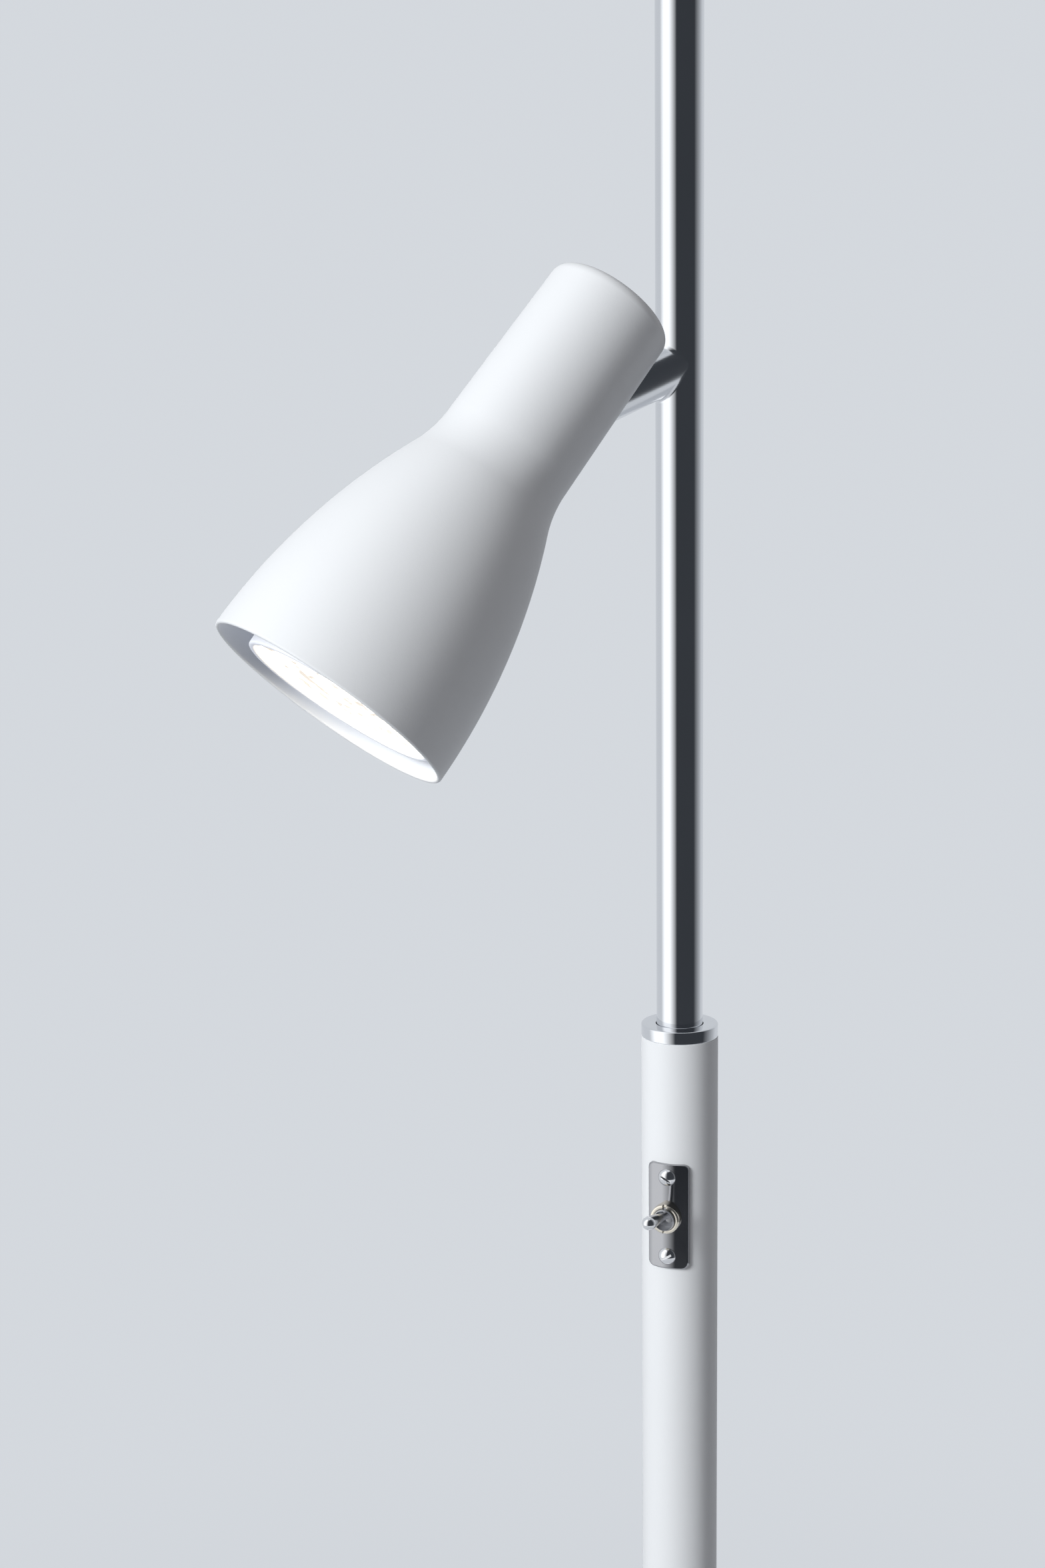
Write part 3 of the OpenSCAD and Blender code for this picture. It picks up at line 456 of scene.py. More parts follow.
moulded("black_rubber", (0.018, 0.018, 0.019), (0.034, 0.034, 0.035), 0.68, 900, 0.06)
moulded("grey_rubber", (0.5, 0.5, 0.51), (0.58, 0.58, 0.58), 0.6, 900, 0.05)
moulded("black_plastic", (0.02, 0.02, 0.022), (0.032, 0.032, 0.034), 0.42, 1600, 0.05)
moulded("nylon", (0.74, 0.73, 0.69), (0.8, 0.79, 0.75), 0.38, 500, 0.02)
moulded("red_plastic", (0.36, 0.03, 0.03), (0.45, 0.045, 0.04), 0.4, 1200, 0.03)
moulded("ceramic", (0.78, 0.76, 0.7), (0.86, 0.84, 0.79), 0.55, 2600, 0.04)
moulded("insulation", (0.72, 0.68, 0.58), (0.8, 0.76, 0.66), 0.5, 800, 0.02)
moulded("board", (0.78, 0.78, 0.75), (0.84, 0.84, 0.81), 0.45, 600, 0.02)

# %% [markdown]
# ## The lit lamp
# The lamp's shell is a white plastic with a painted cool glow: a faint emission, even apart from a cloudy noise, that
# stands in for the cool light falling on it.
# The lens is so bright that only its moulded facets can still be told apart.

# %% Lamp plastic, lens and chips
def lamp_plastic():
    """White plastic with a painted cool glow: a faint emission that stands in for the cool light on the shell."""
    finish = Finish("lamp_plastic", IOR=1.46, Emission_Strength=1.0)
    cloud = finish.noise(60, 2.0)
    # Painted light: the cool emission paints a glow on the shell in place of the cool light that falls on it.
    finish.drive(Base_Color=finish.blend(cloud, (0.8, 0.8, 0.8), (0.86, 0.86, 0.86)), Roughness=0.3 + cloud * 0.1,
                 Emission_Color=finish.blend(cloud, (0.075, 0.09, 0.135), (0.09, 0.105, 0.155)))
    finish.relief(finish.noise(900, 2.0), 0.01, 0.3)
    store("lamp_plastic", finish)


def lamp_lens():
    """A bright lens: facet edges and scattered marks stay darker than the glow between them."""
    finish = Finish("lamp_lens", Roughness=0.18, IOR=1.5, Emission_Strength=4.6)
    facet = finish.node("ShaderNodeTexVoronoi", {"feature": "DISTANCE_TO_EDGE"},
                        {"Vector": finish.place, "Scale": 320.0}, out="Distance")
    cloud = finish.noise(70, 2.0)
    bare = finish.noise(260, 1.0)
    bright = finish.node("ShaderNodeClamp", None, {"Value": facet * 9.0 + bare * 22.0 - 10.0})
    glow = finish.blend(finish.node("ShaderNodeClamp", None, {"Value": cloud * 5.0 - 1.5}),
                        (0.235, 0.218, 0.183), (1.0, 0.84, 0.62))
    finish.drive(Base_Color=finish.blend(cloud, (0.86, 0.84, 0.8), (0.9, 0.89, 0.87)),
                 Emission_Color=finish.blend(bright, (0.085, 0.066, 0.044), glow))
    finish.relief(facet, 0.12, 0.6)
    store("lens", finish)


def chip_glow():
    """The lit yellow coating of the chips."""
    finish = Finish("chip_glow", Roughness=0.5, Emission_Strength=3.0)
    cloud = finish.noise(500, 2.0)
    finish.drive(Base_Color=finish.blend(cloud, (0.9, 0.72, 0.25), (0.95, 0.8, 0.35)),
                 Emission_Color=finish.blend(cloud, (1.0, 0.8, 0.5), (1.0, 0.88, 0.66)))
    store("chips", finish)


lamp_plastic()
lamp_lens()
chip_glow()

# %% [markdown]
# ## Joining a piece to its body
# A piece rides on one moving body, takes one finish, and stands for one or more solids, which are then
# hidden. Solids that stay in view keep their mesh and only get a finish. The shade, the arm and the lamp
# are left out of mirror images, so the pole shows an unbroken window.

# %% Fitting helpers
NO_IMAGE = ("arm_polished", "arm_tongue_plug", "twin_leads")


def fit(piece, body, slot, finish, *nodes):
    """Gives a piece its finish and fixes it to its body in place of its solids."""
    piece.data.materials.clear()
    piece.data.materials.append(finishes[finish])
    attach(piece, body)
    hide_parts(*nodes)
    piece.visible_glossy = body not in ("head", "lamp") and piece.name not in NO_IMAGE
    print(piece.name, "rides on", body, "with", len(piece.data.polygons), "faces")


def joined(node, name, sharp=35.0):
    """A copy of a solid whose loose triangles are joined, so that its round faces can be shaded smooth."""
    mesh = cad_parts[node].data.copy()
    mesh.name = name
    if "custom_normal" in mesh.attributes:
        mesh.attributes.remove(mesh.attributes["custom_normal"])
    return finish_mesh(name, mesh, sharp)


# %% [markdown]
# ## The foot
# Rubber grips the floor, a heavy plate spreads the load, and a threaded rod stands in the plate. The
# wheel on the rod lifts the whole pole until it is jammed against the ceiling. The thread here is
# a real helix: one profile of a ridge, moved up by one pitch for each turn.

# %% Pad and plate
DISC_R, DISC_T, PAD_R, PAD_T = 30.0, 8.0, 27.0, 4.0
RECESS_R, RECESS_Z = 7.5, 4.0


def pad_profile():
    """Half section of a pad: a flat face with fine grooves, an eased rim and a flat back."""
    grooves = [(r, d, 0.0) for k in range(4) for r, d in
               ((8.0 + 4.5 * k, 0.0), (8.3 + 4.5 * k, 0.5), (9.2 + 4.5 * k, 0.5), (9.5 + 4.5 * k, 0.0))]
    rim = [(PAD_R - 0.8, 0, 0.3), (PAD_R, 0.8, 0.4), (PAD_R, PAD_T, 0.2), (0, PAD_T, 0)]
    return eased([(0, 0, 0)] + grooves + rim)


def disc_profile(bore):
    """Section of a plate, from its pad side at 0 to its shouldered side at DISC_T, round a bore."""
    shoulder = arc((DISC_R - 3, DISC_T - 3), 3, 0, 90, 10)
    underside = [(bore, RECESS_Z), (RECESS_R, RECESS_Z), (RECESS_R, 1.0), (PAD_R, 1.0), (PAD_R, 0.25),
                 (PAD_R + 0.25, 0.0), (DISC_R - 0.3, 0.0), (DISC_R - 0.09, 0.09), (DISC_R, 0.3)]
    return np.concatenate([underside, shoulder, [(bore + 0.4, DISC_T), (bore, DISC_T - 0.4)]])


fit(turned_piece("floor_pad_rubber", pad_profile(), POLE, 128), "foot", "black_rubber", "black_rubber", "floor_pad")
fit(turned_piece("foot_disc", disc_profile(5.02), shift(0, 0, PAD_T - 1), 128, ring=True), "foot",
    "white_paint", "white", "foot_plate")


# %% Threaded rod
SCREW_R, PITCH, THREAD_Z, SCREW_TOP = 5.0, 2.0, 12.0, 76.0


def threaded_rod():
    """A helix: r(a, z) = root + depth * ridge(z / pitch - a / 2 pi), faded out at both ends."""
    columns = 64
    z = np.linspace(THREAD_Z, SCREW_TOP, int((SCREW_TOP - THREAD_Z) / PITCH * 12) + 1)
    angle = steps_round(columns)
    phase = (z[:, None] / PITCH - angle / (2 * np.pi)) % 1.0
    ridge = np.clip(1.9 - 4.4 * np.abs(phase - 0.5), 0, 1)
    fade = np.clip(np.minimum(z - THREAD_Z, SCREW_TOP - z) / 1.2, 0, 1)[:, None]
    r = SCREW_R - 0.55 + 0.55 * ridge * fade
    wall = np.stack([r * np.cos(angle), r * np.sin(angle), z[:, None] + 0 * angle], -1)
    stub = turned(np.array([(0, PAD_T), (7.4, PAD_T), (7.4, 7.0), (SCREW_R - 0.02, 7.0), (SCREW_R - 0.02, 11.9),
                            (SCREW_R - 0.55, THREAD_Z)]), columns)
    tip = turned(np.array([(SCREW_R - 0.55, SCREW_TOP), (0, SCREW_TOP)]), columns)
    return make_piece("jack_rod", [(stub, False, True), (wall, False, True), (tip, False, True)], POLE, 50)


fit(threaded_rod(), "foot", "zinc_steel", "zinc", "jack_screw")

# %% Scalloped wheel
WHEEL_Z, WHEEL_H, WHEEL_R, SCALLOPS = 14.0, 12.0, 16.0, 24


def scalloped_wheel():
    """A profile whose radius dips at each scallop: r = min(R, c cos b - sqrt(s^2 - c^2 sin^2 b)).

    b is the angle from the scallop's middle, c the distance of its centre and s its radius. The dip
    fades towards the bore, so the faces are plain rings and only the rim is scalloped."""
    bore, centre, radius = 5.06, 16.7, 1.6
    angle = steps_round(SCALLOPS * 20)
    b = (angle + np.pi / SCALLOPS) % (2 * np.pi / SCALLOPS) - np.pi / SCALLOPS
    inside = np.clip(radius ** 2 - (centre * np.sin(b)) ** 2, 0, None)
    dip = np.where(inside > 0, np.clip(WHEEL_R - centre * np.cos(b) + np.sqrt(inside), 0, None), 0)
    profile = eased([(bore, 0, 0.3), (8.5, 0, 0.1), (8.9, 0.4, 0.1), (13.0, 0.4, 0.1), (13.4, 0, 0.1),
                     (WHEEL_R, 0, 1.0), (WHEEL_R, WHEEL_H, 1.0), (13.4, WHEEL_H, 0.1), (13.0, WHEEL_H - 0.4, 0.1),
                     (8.9, WHEEL_H - 0.4, 0.1), (8.5, WHEEL_H, 0.1), (bore, WHEEL_H, 0.3)], 3)
    share = np.clip((profile[:, :1] - 13.6) / (WHEEL_R - 13.6), 0, 1) ** 1.5
    r = profile[:, :1] - share * dip
    points = np.stack([r * np.cos(angle), r * np.sin(angle), profile[:, 1:] + 0 * angle], -1)
    return make_piece("jack_hand_wheel", [(points, True, True)], shift(0, 0, WHEEL_Z), 45)


fit(scalloped_wheel(), "jack_wheel", "black_plastic", "black_plastic", "jack_wheel")

# %% [markdown]
# ## The lower tube
# A white tube with a turned plug at the bottom and a polished collar at the top. Two holes show at the
# rear: a countersunk screw that holds the plug, and the rubber bush where a cable would enter.

# %% Tube, plug, bush and collar
LOWER_R, LOWER_BORE, LOWER_Z, LOWER_TOP = 10.0, 8.5, 29.0, 1252.0
PLUG_SCREW_Z, INLET_Z = 40.0, 111.0
SCREW_HOLE_R, INLET_HOLE_R = 1.52, 3.77
PLUG_R, PLUG_FOOT, PLUG_TOP = 8.48, 26, 69


def lower_tube():
    """A tube's closed section turned about the pole, with both rear holes cut through its wall."""
    rows = np.concatenate([np.linspace(LOWER_Z + 0.2, LOWER_Z + 100, 30),
                           np.linspace(LOWER_Z + 130, LOWER_TOP - 0.15, 40)])
    outside = np.stack([np.full(len(rows), LOWER_R), rows], -1)
    section = np.concatenate([[(LOWER_BORE, LOWER_Z), (LOWER_R - 0.2, LOWER_Z)], outside,
                              [(LOWER_R - 0.15, LOWER_TOP), (LOWER_BORE, LOWER_TOP)]])
    tube = turned_piece("lower_tube_white", section, POLE, ROUND_COLUMNS, ring=True)
    drills = []
    for name, radius, height in (("drill", SCREW_HOLE_R, PLUG_SCREW_Z), ("wide_drill", INLET_HOLE_R, INLET_Z)):
        outline = np.array([(0, 5), (radius, 5), (radius, 12), (0, 12)], float)
        drills.append(turned_piece(name, outline, shift(0, 0, height) @ REAR @ spin(90, "Y"), 48))
    cut(tube, drills)
    true_normals(tube, POLE, round_normals)
    return tube


fit(lower_tube(), "lower_pole", "white_paint", "white", "lower_tube")
plug = eased([(5.06, PLUG_FOOT, 0.3), (LOWER_R, PLUG_FOOT, 0.4), (LOWER_R, LOWER_Z, 0.1), (PLUG_R, LOWER_Z, 0.05),
              (PLUG_R, PLUG_TOP, 0.5), (5.06, PLUG_TOP, 0.3)])
fit(turned_piece("tube_plug", plug, POLE, 96, ring=True), "lower_pole", "cast_plug", "aluminium", "lower_plug")
fit(joined("plug_screw", "plug_grub_screw"), "lower_pole", "zinc_steel", "zinc", "plug_screw")
grommet = eased([(2.75, 6.9, 0.2), (2.75, 11.2, 0.5), (4.95, 11.2, 0.8), (4.95, 8.8, 0), (3.7, 8.8, 0),
                 (3.7, 6.9, 0.2)])
fit(turned_piece("inlet_grommet", grommet, shift(0, 0, INLET_Z) @ REAR @ spin(90, "Y"), 64, ring=True),
    "lower_pole", "grey_rubber", "grey_rubber", "inlet_bush")
collar = eased([(6.15, LOWER_TOP - 6, 0.1), (PLUG_R, LOWER_TOP - 6, 0.1), (PLUG_R, LOWER_TOP, 0.05),
                (LOWER_R, LOWER_TOP, 0.15), (LOWER_R, COLLAR_TOP, 0.5), (6.15, COLLAR_TOP, 0.35)], 5)
fit(turned_piece("polished_collar", collar, POLE, ROUND_COLUMNS, ring=True),
    "lower_pole", "polished_chrome", "chrome", "collar")

# %% [markdown]
# ## The switch
# A small lever switch sits behind a curved plate. The plate is drawn as rings: its outline, a rectangle
# with round corners, shrinks towards the middle ring by ring, and every point is lifted on to the
# tube's round. The dress nut, the domes and the lever are turned.

# %% Curved plate
PLATE_W, PLATE_H, PLATE_T, PLATE_CORNER = 11.0, 28.4, 1.0, 1.5


def plate_outline(count=24):
    """A rectangle with round corners: four quarter circles joined by lines, cut into short steps."""
    x, z = PLATE_W / 2 - PLATE_CORNER, PLATE_H / 2 - PLATE_CORNER
    corners = [arc(c, PLATE_CORNER, a, a + 90, 6)
               for c, a in (((x, z), 0), ((-x, z), 90), ((-x, -z), 180), ((x, -z), 270))]
    closed = np.concatenate(corners + [corners[0][:1]])
    walked = np.concatenate([[0], np.cumsum(np.hypot(*np.diff(closed, axis=0).T))])
    keep = np.unique(np.concatenate([walked, np.linspace(0, walked[-1], count * 4 + 1)]))[:-1]
    return np.stack([np.interp(keep, walked, closed[:, 0]), np.interp(keep, walked, closed[:, 1])], -1)


def curved_plate():
    """Rings of the outline on two rounds: the foot on the tube, an eased edge, then the face."""
    rim = plate_outline()
    rings = [(0.0, LOWER_R + 0.01), (0.0, LOWER_R + PLATE_T - 0.3), (0.09, LOWER_R + PLATE_T - 0.09),
             (0.3, LOWER_R + PLATE_T)]
    layers = []
    for inset, radius in rings:
        scale = 1 - 2 * inset / np.array([PLATE_W, PLATE_H])
        layers.append((rim * scale, radius))
    for share in np.linspace(0.9, 0.0, 10):
        layers.append((rim * (1 - 0.6 / np.array([PLATE_W, PLATE_H])) * share, LOWER_R + PLATE_T))
    layers.insert(0, (rim * 0.0, LOWER_R + 0.01))
    points = np.stack([np.stack([np.sqrt(radius ** 2 - flat[:, 0] ** 2), flat[:, 0], flat[:, 1]], -1)
                       for flat, radius in layers])
    plate = make_piece("switch_face_plate", [(points, False, True)], SWITCH, 50)
    true_normals(plate, SWITCH, round_normals, 0.97)
    return plate


fit(curved_plate(), "lower_pole", "dark_chrome", "dark_chrome", "switch_plate")

# %% Nut, bushing, domes and lever
NUT_R, NUT_X, NUT_T, BUSH_R = 3.9, 11.0, 2.2, 3.0
SCREW_PITCH, DOME_R, DOME_H = 21.5, 2.3, 1.5
LEVER_PIVOT, LEVER_UP, LEVER_REACH = 8.4, 12.0, 19.3


def slot_tool(width, low, high, along):
    """A box that cuts a screwdriver slot across a head, from low to high along the outward axis."""
    x, y = along, width / 2
    outline = np.array([(-x, -y), (x, -y), (x, y), (-x, y)])
    levels = [np.column_stack([outline * k, np.full(4, h)]) for k, h in ((0, low), (1, low), (1, high), (0, high))]
    return np.stack(levels)


def dress_nut():
    """A turned ring with an eased rim and two spanner slots across its face."""
    nut = turned_piece("dress_nut", eased([(BUSH_R, NUT_X - 0.6, 0), (NUT_R, NUT_X - 0.6, 0.05),
                                           (NUT_R, NUT_X + NUT_T, 0.45), (BUSH_R, NUT_X + NUT_T, 0.15)], 5),
                       SWITCH_OUT, 96, ring=True, sharp=45)
    cut(nut, [make_piece("slot", [(slot_tool(1.0, NUT_X + NUT_T - 0.7, NUT_X + 4, 6), False, True)], SWITCH_OUT)])
    nut.data.shade_smooth()
    nut.data.set_sharp_from_angle(angle=math.radians(30))
    return nut


def screw_domes():
    """Two caps of a sphere on short shanks, each with a fine slot."""
    radius = (DOME_R ** 2 + DOME_H ** 2) / (2 * DOME_H)
    centre = LOWER_R + PLATE_T + DOME_H - radius
    cap = arc((0, centre), radius, math.degrees(math.asin((radius - DOME_H) / radius)), 90, 12)
    profile = np.concatenate([[(0, 9), (DOME_R - 0.1, 9), (DOME_R, LOWER_R + PLATE_T - 0.2)], cap])
    made = []
    for side, name in ((1, "upper_dome"), (-1, "lower_dome")):
        place = shift(0, 0, side * SCREW_PITCH / 2)
        dome = turned_piece(name, profile, SWITCH @ place @ spin(90, "Y"), 64)
        cut(dome, [make_piece("slot", [(slot_tool(0.55, LOWER_R + PLATE_T + DOME_H - 0.6, 14, 4), False, True)],
                              SWITCH @ place @ spin(90, "Y") @ spin(62 * side, "Z"))])

        def ball(points, middle=centre):
            away = points - np.array([0, 0, middle])
            return away / np.linalg.norm(away, axis=1, keepdims=True)

        true_normals(dome, SWITCH @ place @ spin(90, "Y"), ball, 0.9)
        made.append(dome)
    return made


def lever_profile():
    """Half section of the lever: a ball at the pivot, a thin neck and a bat with a round end."""
    neck, tip = 1.0, 1.75
    ball = arc((0, 0), 1.8, -90, 50, 12)
    bat = arc((0, LEVER_REACH - tip), tip, 8, 90, 10)
    swell = np.linspace(0, 1, 12)[:, None]
    ease = swell ** 2 * (3 - 2 * swell)
    body = np.concatenate([neck + (tip - neck - 0.02) * ease, 4.0 + (LEVER_REACH - tip - 4.0) * swell], 1)
    return np.concatenate([ball, body, bat])


def threaded_bushing():
    """A threaded sleeve: ridges of one pitch up to its eased end, then the bore back down."""
    teeth = np.arange(7.4, 13.4, 0.5)
    ridges = np.stack([np.tile([BUSH_R - 0.22, BUSH_R], len(teeth)),
                       np.stack([teeth, teeth + 0.25], -1).ravel()], -1)
    return np.concatenate([[(2.2, 7.2)], ridges, [(BUSH_R - 0.2, 13.8), (BUSH_R - 0.3, 14.0), (2.62, 14.0)]])


fit(dress_nut(), "lower_pole", "polished_chrome", "nickel", "switch_nut")
for dome in screw_domes():
    fit(dome, "lower_pole", "polished_chrome", "small_chrome", "plate_screws")
fit(turned_piece("threaded_sleeve", threaded_bushing(), SWITCH_OUT, 64, ring=True, sharp=60),
    "lower_pole", "zinc_steel", "zinc", "switch_bushing")
LEVER = SWITCH @ shift(LEVER_PIVOT, 0, 0) @ spin(90 - LEVER_UP, "Y")
fit(turned_piece("bat_lever", lever_profile(), LEVER, 48, sharp=60),
    "switch_lever", "polished_chrome", "small_chrome", "toggle_lever")

# %% [markdown]
# ## The upper tube and the arm
# The arm is a short tube, cut at its root to the round of the pole and brazed on. Its root line is
# found by formula: along each line of the arm's wall, the place where the distance from the pole's axis
# is the pole's radius. A small bead of braze fills the corner.

# %% Polished tube
UPPER_R, UPPER_BORE, UPPER_Z, UPPER_TOP = 6.0, 5.0, 1219.3, 2328.0
ARM_R, ARM_WALL, ARM_END = 5.9, 1.0, 28.5

rows = np.linspace(UPPER_Z + 0.3, UPPER_TOP - 0.3, 90)
section = np.concatenate([[(UPPER_BORE, UPPER_Z), (UPPER_R - 0.3, UPPER_Z)],
                          np.stack([np.full(len(rows), UPPER_R), rows], -1),
                          [(UPPER_R - 0.3, UPPER_TOP), (UPPER_BORE, UPPER_TOP)]])
fit(turned_piece("upper_tube_polished", section, POLE, ROUND_COLUMNS, ring=True),
    "mast", "polished_chrome", "chrome", "upper_tube")


# %% Arm with its braze bead
def root_distance(angle, wall_r, pole_r):
    """How far along the arm its wall meets the pole's round, for each angle round the arm.

    The wall's point is (x, y', s) in the arm's frame. Its distance from the pole's axis is pole_r where
    x^2 + (y' cos t - s sin t)^2 = pole_r^2, with t the turn of the arm's frame."""
    t = math.radians(90 + ARM_SLOPE)
    x, y = wall_r * np.cos(angle), wall_r * np.sin(angle)
    return (y * math.cos(t) + np.sqrt(np.maximum(pole_r ** 2 - x ** 2, 0))) / math.sin(t)


def arm_piece():
    """The arm's wall, its end and its bore as one closed section that follows the root line."""
    angle = steps_round(ROUND_COLUMNS)
    start = root_distance(angle, ARM_R, UPPER_R) - 0.3
    end = np.full_like(angle, ARM_END)
    share = np.linspace(0, 1, 40)[:, None]
    wall = np.stack([ARM_R * np.cos(angle) + 0 * share, ARM_R * np.sin(angle) + 0 * share,
                     start + (end - 0.3 - start) * share], -1)
    rim = turned(np.array([(ARM_R - 0.3, ARM_END), (ARM_R - ARM_WALL, ARM_END)]), ROUND_COLUMNS)
    inner = np.stack([(ARM_R - ARM_WALL) * np.cos(angle), (ARM_R - ARM_WALL) * np.sin(angle),
                      root_distance(angle, ARM_R - ARM_WALL, UPPER_R) - 0.3], -1)[None]
    return make_piece("arm_polished", [(np.concatenate([wall, rim, inner]), True, True)], ARM, 50)


def braze_bead(size=1.2, steps=10):
    """A hollow fillet in the corner of arm and pole: a quadratic blend from the arm's wall to the pole.

    Its middle control point lies just inside the root line, so the bead leaves both surfaces almost flush."""
    angle = steps_round(ROUND_COLUMNS)
    root = root_distance(angle, ARM_R, UPPER_R)
    corner = np.stack([ARM_R * np.cos(angle), ARM_R * np.sin(angle), root], -1)
    on_arm = corner + np.array([0, 0, size])
    out = np.stack([np.cos(angle), np.sin(angle), 0 * angle], -1)
    turn = np.array(ARM.to_3x3())
    spread = (corner + out * size) @ turn.T
    across = np.hypot(spread[:, 0], spread[:, 1])[:, None]
    spread[:, :2] *= (UPPER_R - 0.02) / across
    on_pole = spread @ turn
    t = np.linspace(0, 1, steps + 1)[:, None, None]
    sheet = (1 - t) ** 2 * on_arm + 2 * t * (1 - t) * (corner - out * 0.05) + t ** 2 * on_pole
    back = on_pole - out * 0.3
    deep = corner - out * 0.4 - np.array([0, 0, 0.2])
    return make_piece("arm_braze", [(np.concatenate([sheet, back[None], deep[None]]), True, True)], ARM, 60)


fit(arm_piece(), "mast", "polished_chrome", "satin_chrome", "arm")
bead = braze_bead()
bead.visible_glossy = False
bead.data.materials.append(finishes["satin_chrome"])
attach(bead, "mast")
fit(joined("arm_tongue", "arm_tongue_plug"), "mast", "zinc_steel", "zinc", "arm_tongue")
fit(joined("lamp_leads", "twin_leads"), "mast", "lead_insulation", "insulation", "lamp_leads")

# %% [markdown]
# ## The ceiling end
# A nylon bush guides a steel rod out of the tube. A plate like the foot's swivels on the rod.

# %% Bush, rod, plate and pad
CUP_Z, CEILING_TOP, BOSS_H, BOSS_R = 2383.0, 2400.0, 6.0, 9.0
GUIDE_Z, GUIDE_R, GUIDE_BORE = 2302, 4.98, 4.06
ROD_R, ROD_TOP, SPIGOT_R, SPIGOT_TOP = 4.0, 2390, 3.0, 2393

guide = eased([(GUIDE_BORE, GUIDE_Z, 0.2), (GUIDE_R, GUIDE_Z, 0.3), (GUIDE_R, UPPER_TOP, 0.05),
               (UPPER_R, UPPER_TOP, 0.2), (UPPER_R, UPPER_TOP + 2, 0.5), (GUIDE_BORE, UPPER_TOP + 2, 0.3)])
fit(turned_piece("top_bush_nylon", guide, POLE, 96, ring=True), "mast", "nylon", "nylon", "top_bush")
rod = eased([(0, GUIDE_Z, 0), (ROD_R, GUIDE_Z, 0.4), (ROD_R, ROD_TOP, 0.05), (SPIGOT_R, ROD_TOP, 0.05),
             (SPIGOT_R, SPIGOT_TOP, 0.2), (0, SPIGOT_TOP, 0)])
fit(turned_piece("plunger_rod_polished", rod, POLE, 96), "plunger", "polished_chrome", "chrome", "plunger_rod")
plate = disc_profile(3.06)
plate[:, 1] = CUP_Z + BOSS_H + DISC_T - plate[:, 1]
boss = np.array([(BOSS_R + 0.4, CUP_Z + BOSS_H), (BOSS_R, CUP_Z + BOSS_H - 0.4), (BOSS_R, CUP_Z + 0.6),
                 (BOSS_R - 0.18, CUP_Z + 0.18), (BOSS_R - 0.6, CUP_Z), (4.36, CUP_Z), (GUIDE_BORE, CUP_Z + 0.3),
                 (GUIDE_BORE, ROD_TOP), (3.06, ROD_TOP)])
fit(turned_piece("ceiling_disc", np.concatenate([plate[:-2], boss]), POLE, 128, ring=True),
    "ceiling_cup", "white_paint", "white", "ceiling_plate")
top_pad = pad_profile()
top_pad[:, 1] = CEILING_TOP - top_pad[:, 1]
fit(turned_piece("ceiling_pad_rubber", top_pad, POLE, 128),
    "ceiling_cup", "black_rubber", "black_rubber", "ceiling_pad")

# %% [markdown]
# ## The shade
# A spun steel shade: a neck that tapers a little, a hollow throat and a crowned bell. Its half section
# is four arcs and a straight neck, drawn once outside and once inside, joined by a round lip.

# %% Shade outline
SHADE_LEN, SHADE_WALL = 120.0, 1.2
NECK_TOP_R, NECK_R, NECK_LEN, MOUTH_R = 16.4, 17.2, 46.0, 31.9
CAP_ROUND, CAP_CROWN, THROAT_R = 3.0, 0.6, 30.0
BELL_ANGLE = 2 * math.degrees(math.atan((MOUTH_R - NECK_R) / (SHADE_LEN - NECK_LEN)))
BELL_R = (SHADE_LEN - NECK_LEN) / math.sin(math.radians(BELL_ANGLE)) - THROAT_R
CROWN_R = ((NECK_TOP_R - CAP_ROUND) ** 2 + CAP_CROWN ** 2) / (2 * CAP_CROWN)
CORNER = (NECK_TOP_R - CAP_ROUND, CAP_ROUND)
CROWN = (0.0, CROWN_R - CAP_CROWN)
THROAT = (NECK_R + THROAT_R, NECK_LEN)
BELL = (MOUTH_R - BELL_R, SHADE_LEN)


def shade_line(inset):
    """The shade's outline at a distance inside its outer face, from the cap's centre to the mouth."""
    edge = math.degrees(math.asin(CORNER[0] / CROWN_R))
    crown = arc(CROWN, CROWN_R - inset, -90, -90 + edge * 0.9, 6)
    corner = arc(CORNER, CAP_ROUND - inset, -80, -1, 12)
    throat = arc(THROAT, THROAT_R + inset, 180, 180 - BELL_ANGLE, 16)
    bell = arc(BELL, BELL_R - inset, -BELL_ANGLE, 0, 60)
    neck = corner[-1] + (throat[0] - corner[-1]) * np.linspace(0, 1, 26)[1:-1, None]
    return np.concatenate([crown, corner, neck, throat, bell[1:]])


def shade_normals(points):
    """Across and along parts of the outline's normal, by the arc that each point lies on."""
    across, along = np.hypot(points[:, 0], points[:, 1]), points[:, 2]
    taper = (NECK_R - NECK_TOP_R) / (NECK_LEN - CAP_ROUND)
    zone = [along > SHADE_LEN, (along < CAP_ROUND) & (across > CORNER[0]), along < CAP_ROUND, along < NECK_LEN,
            along < BELL[1] - BELL_R * math.sin(math.radians(BELL_ANGLE))]
    out = np.select(zone, [across - MOUTH_R + SHADE_WALL / 2, across - CORNER[0], across, 1 + 0 * across,
                           THROAT[0] - across], across - BELL[0])
    up = np.select(zone, [along - SHADE_LEN, along - CORNER[1], along - CROWN[1], -taper + 0 * across,
                          THROAT[1] - along], along - BELL[1])
    size = np.hypot(out, up) + 1e-12
    side = points[:, :2] / (across[:, None] + 1e-9)
    return np.column_stack([side * (out / size)[:, None], up / size])


# %% Shade with its slot
SLOT_W, SLOT_IN, SLOT_LOW = 13.0, 12.87, 33.67


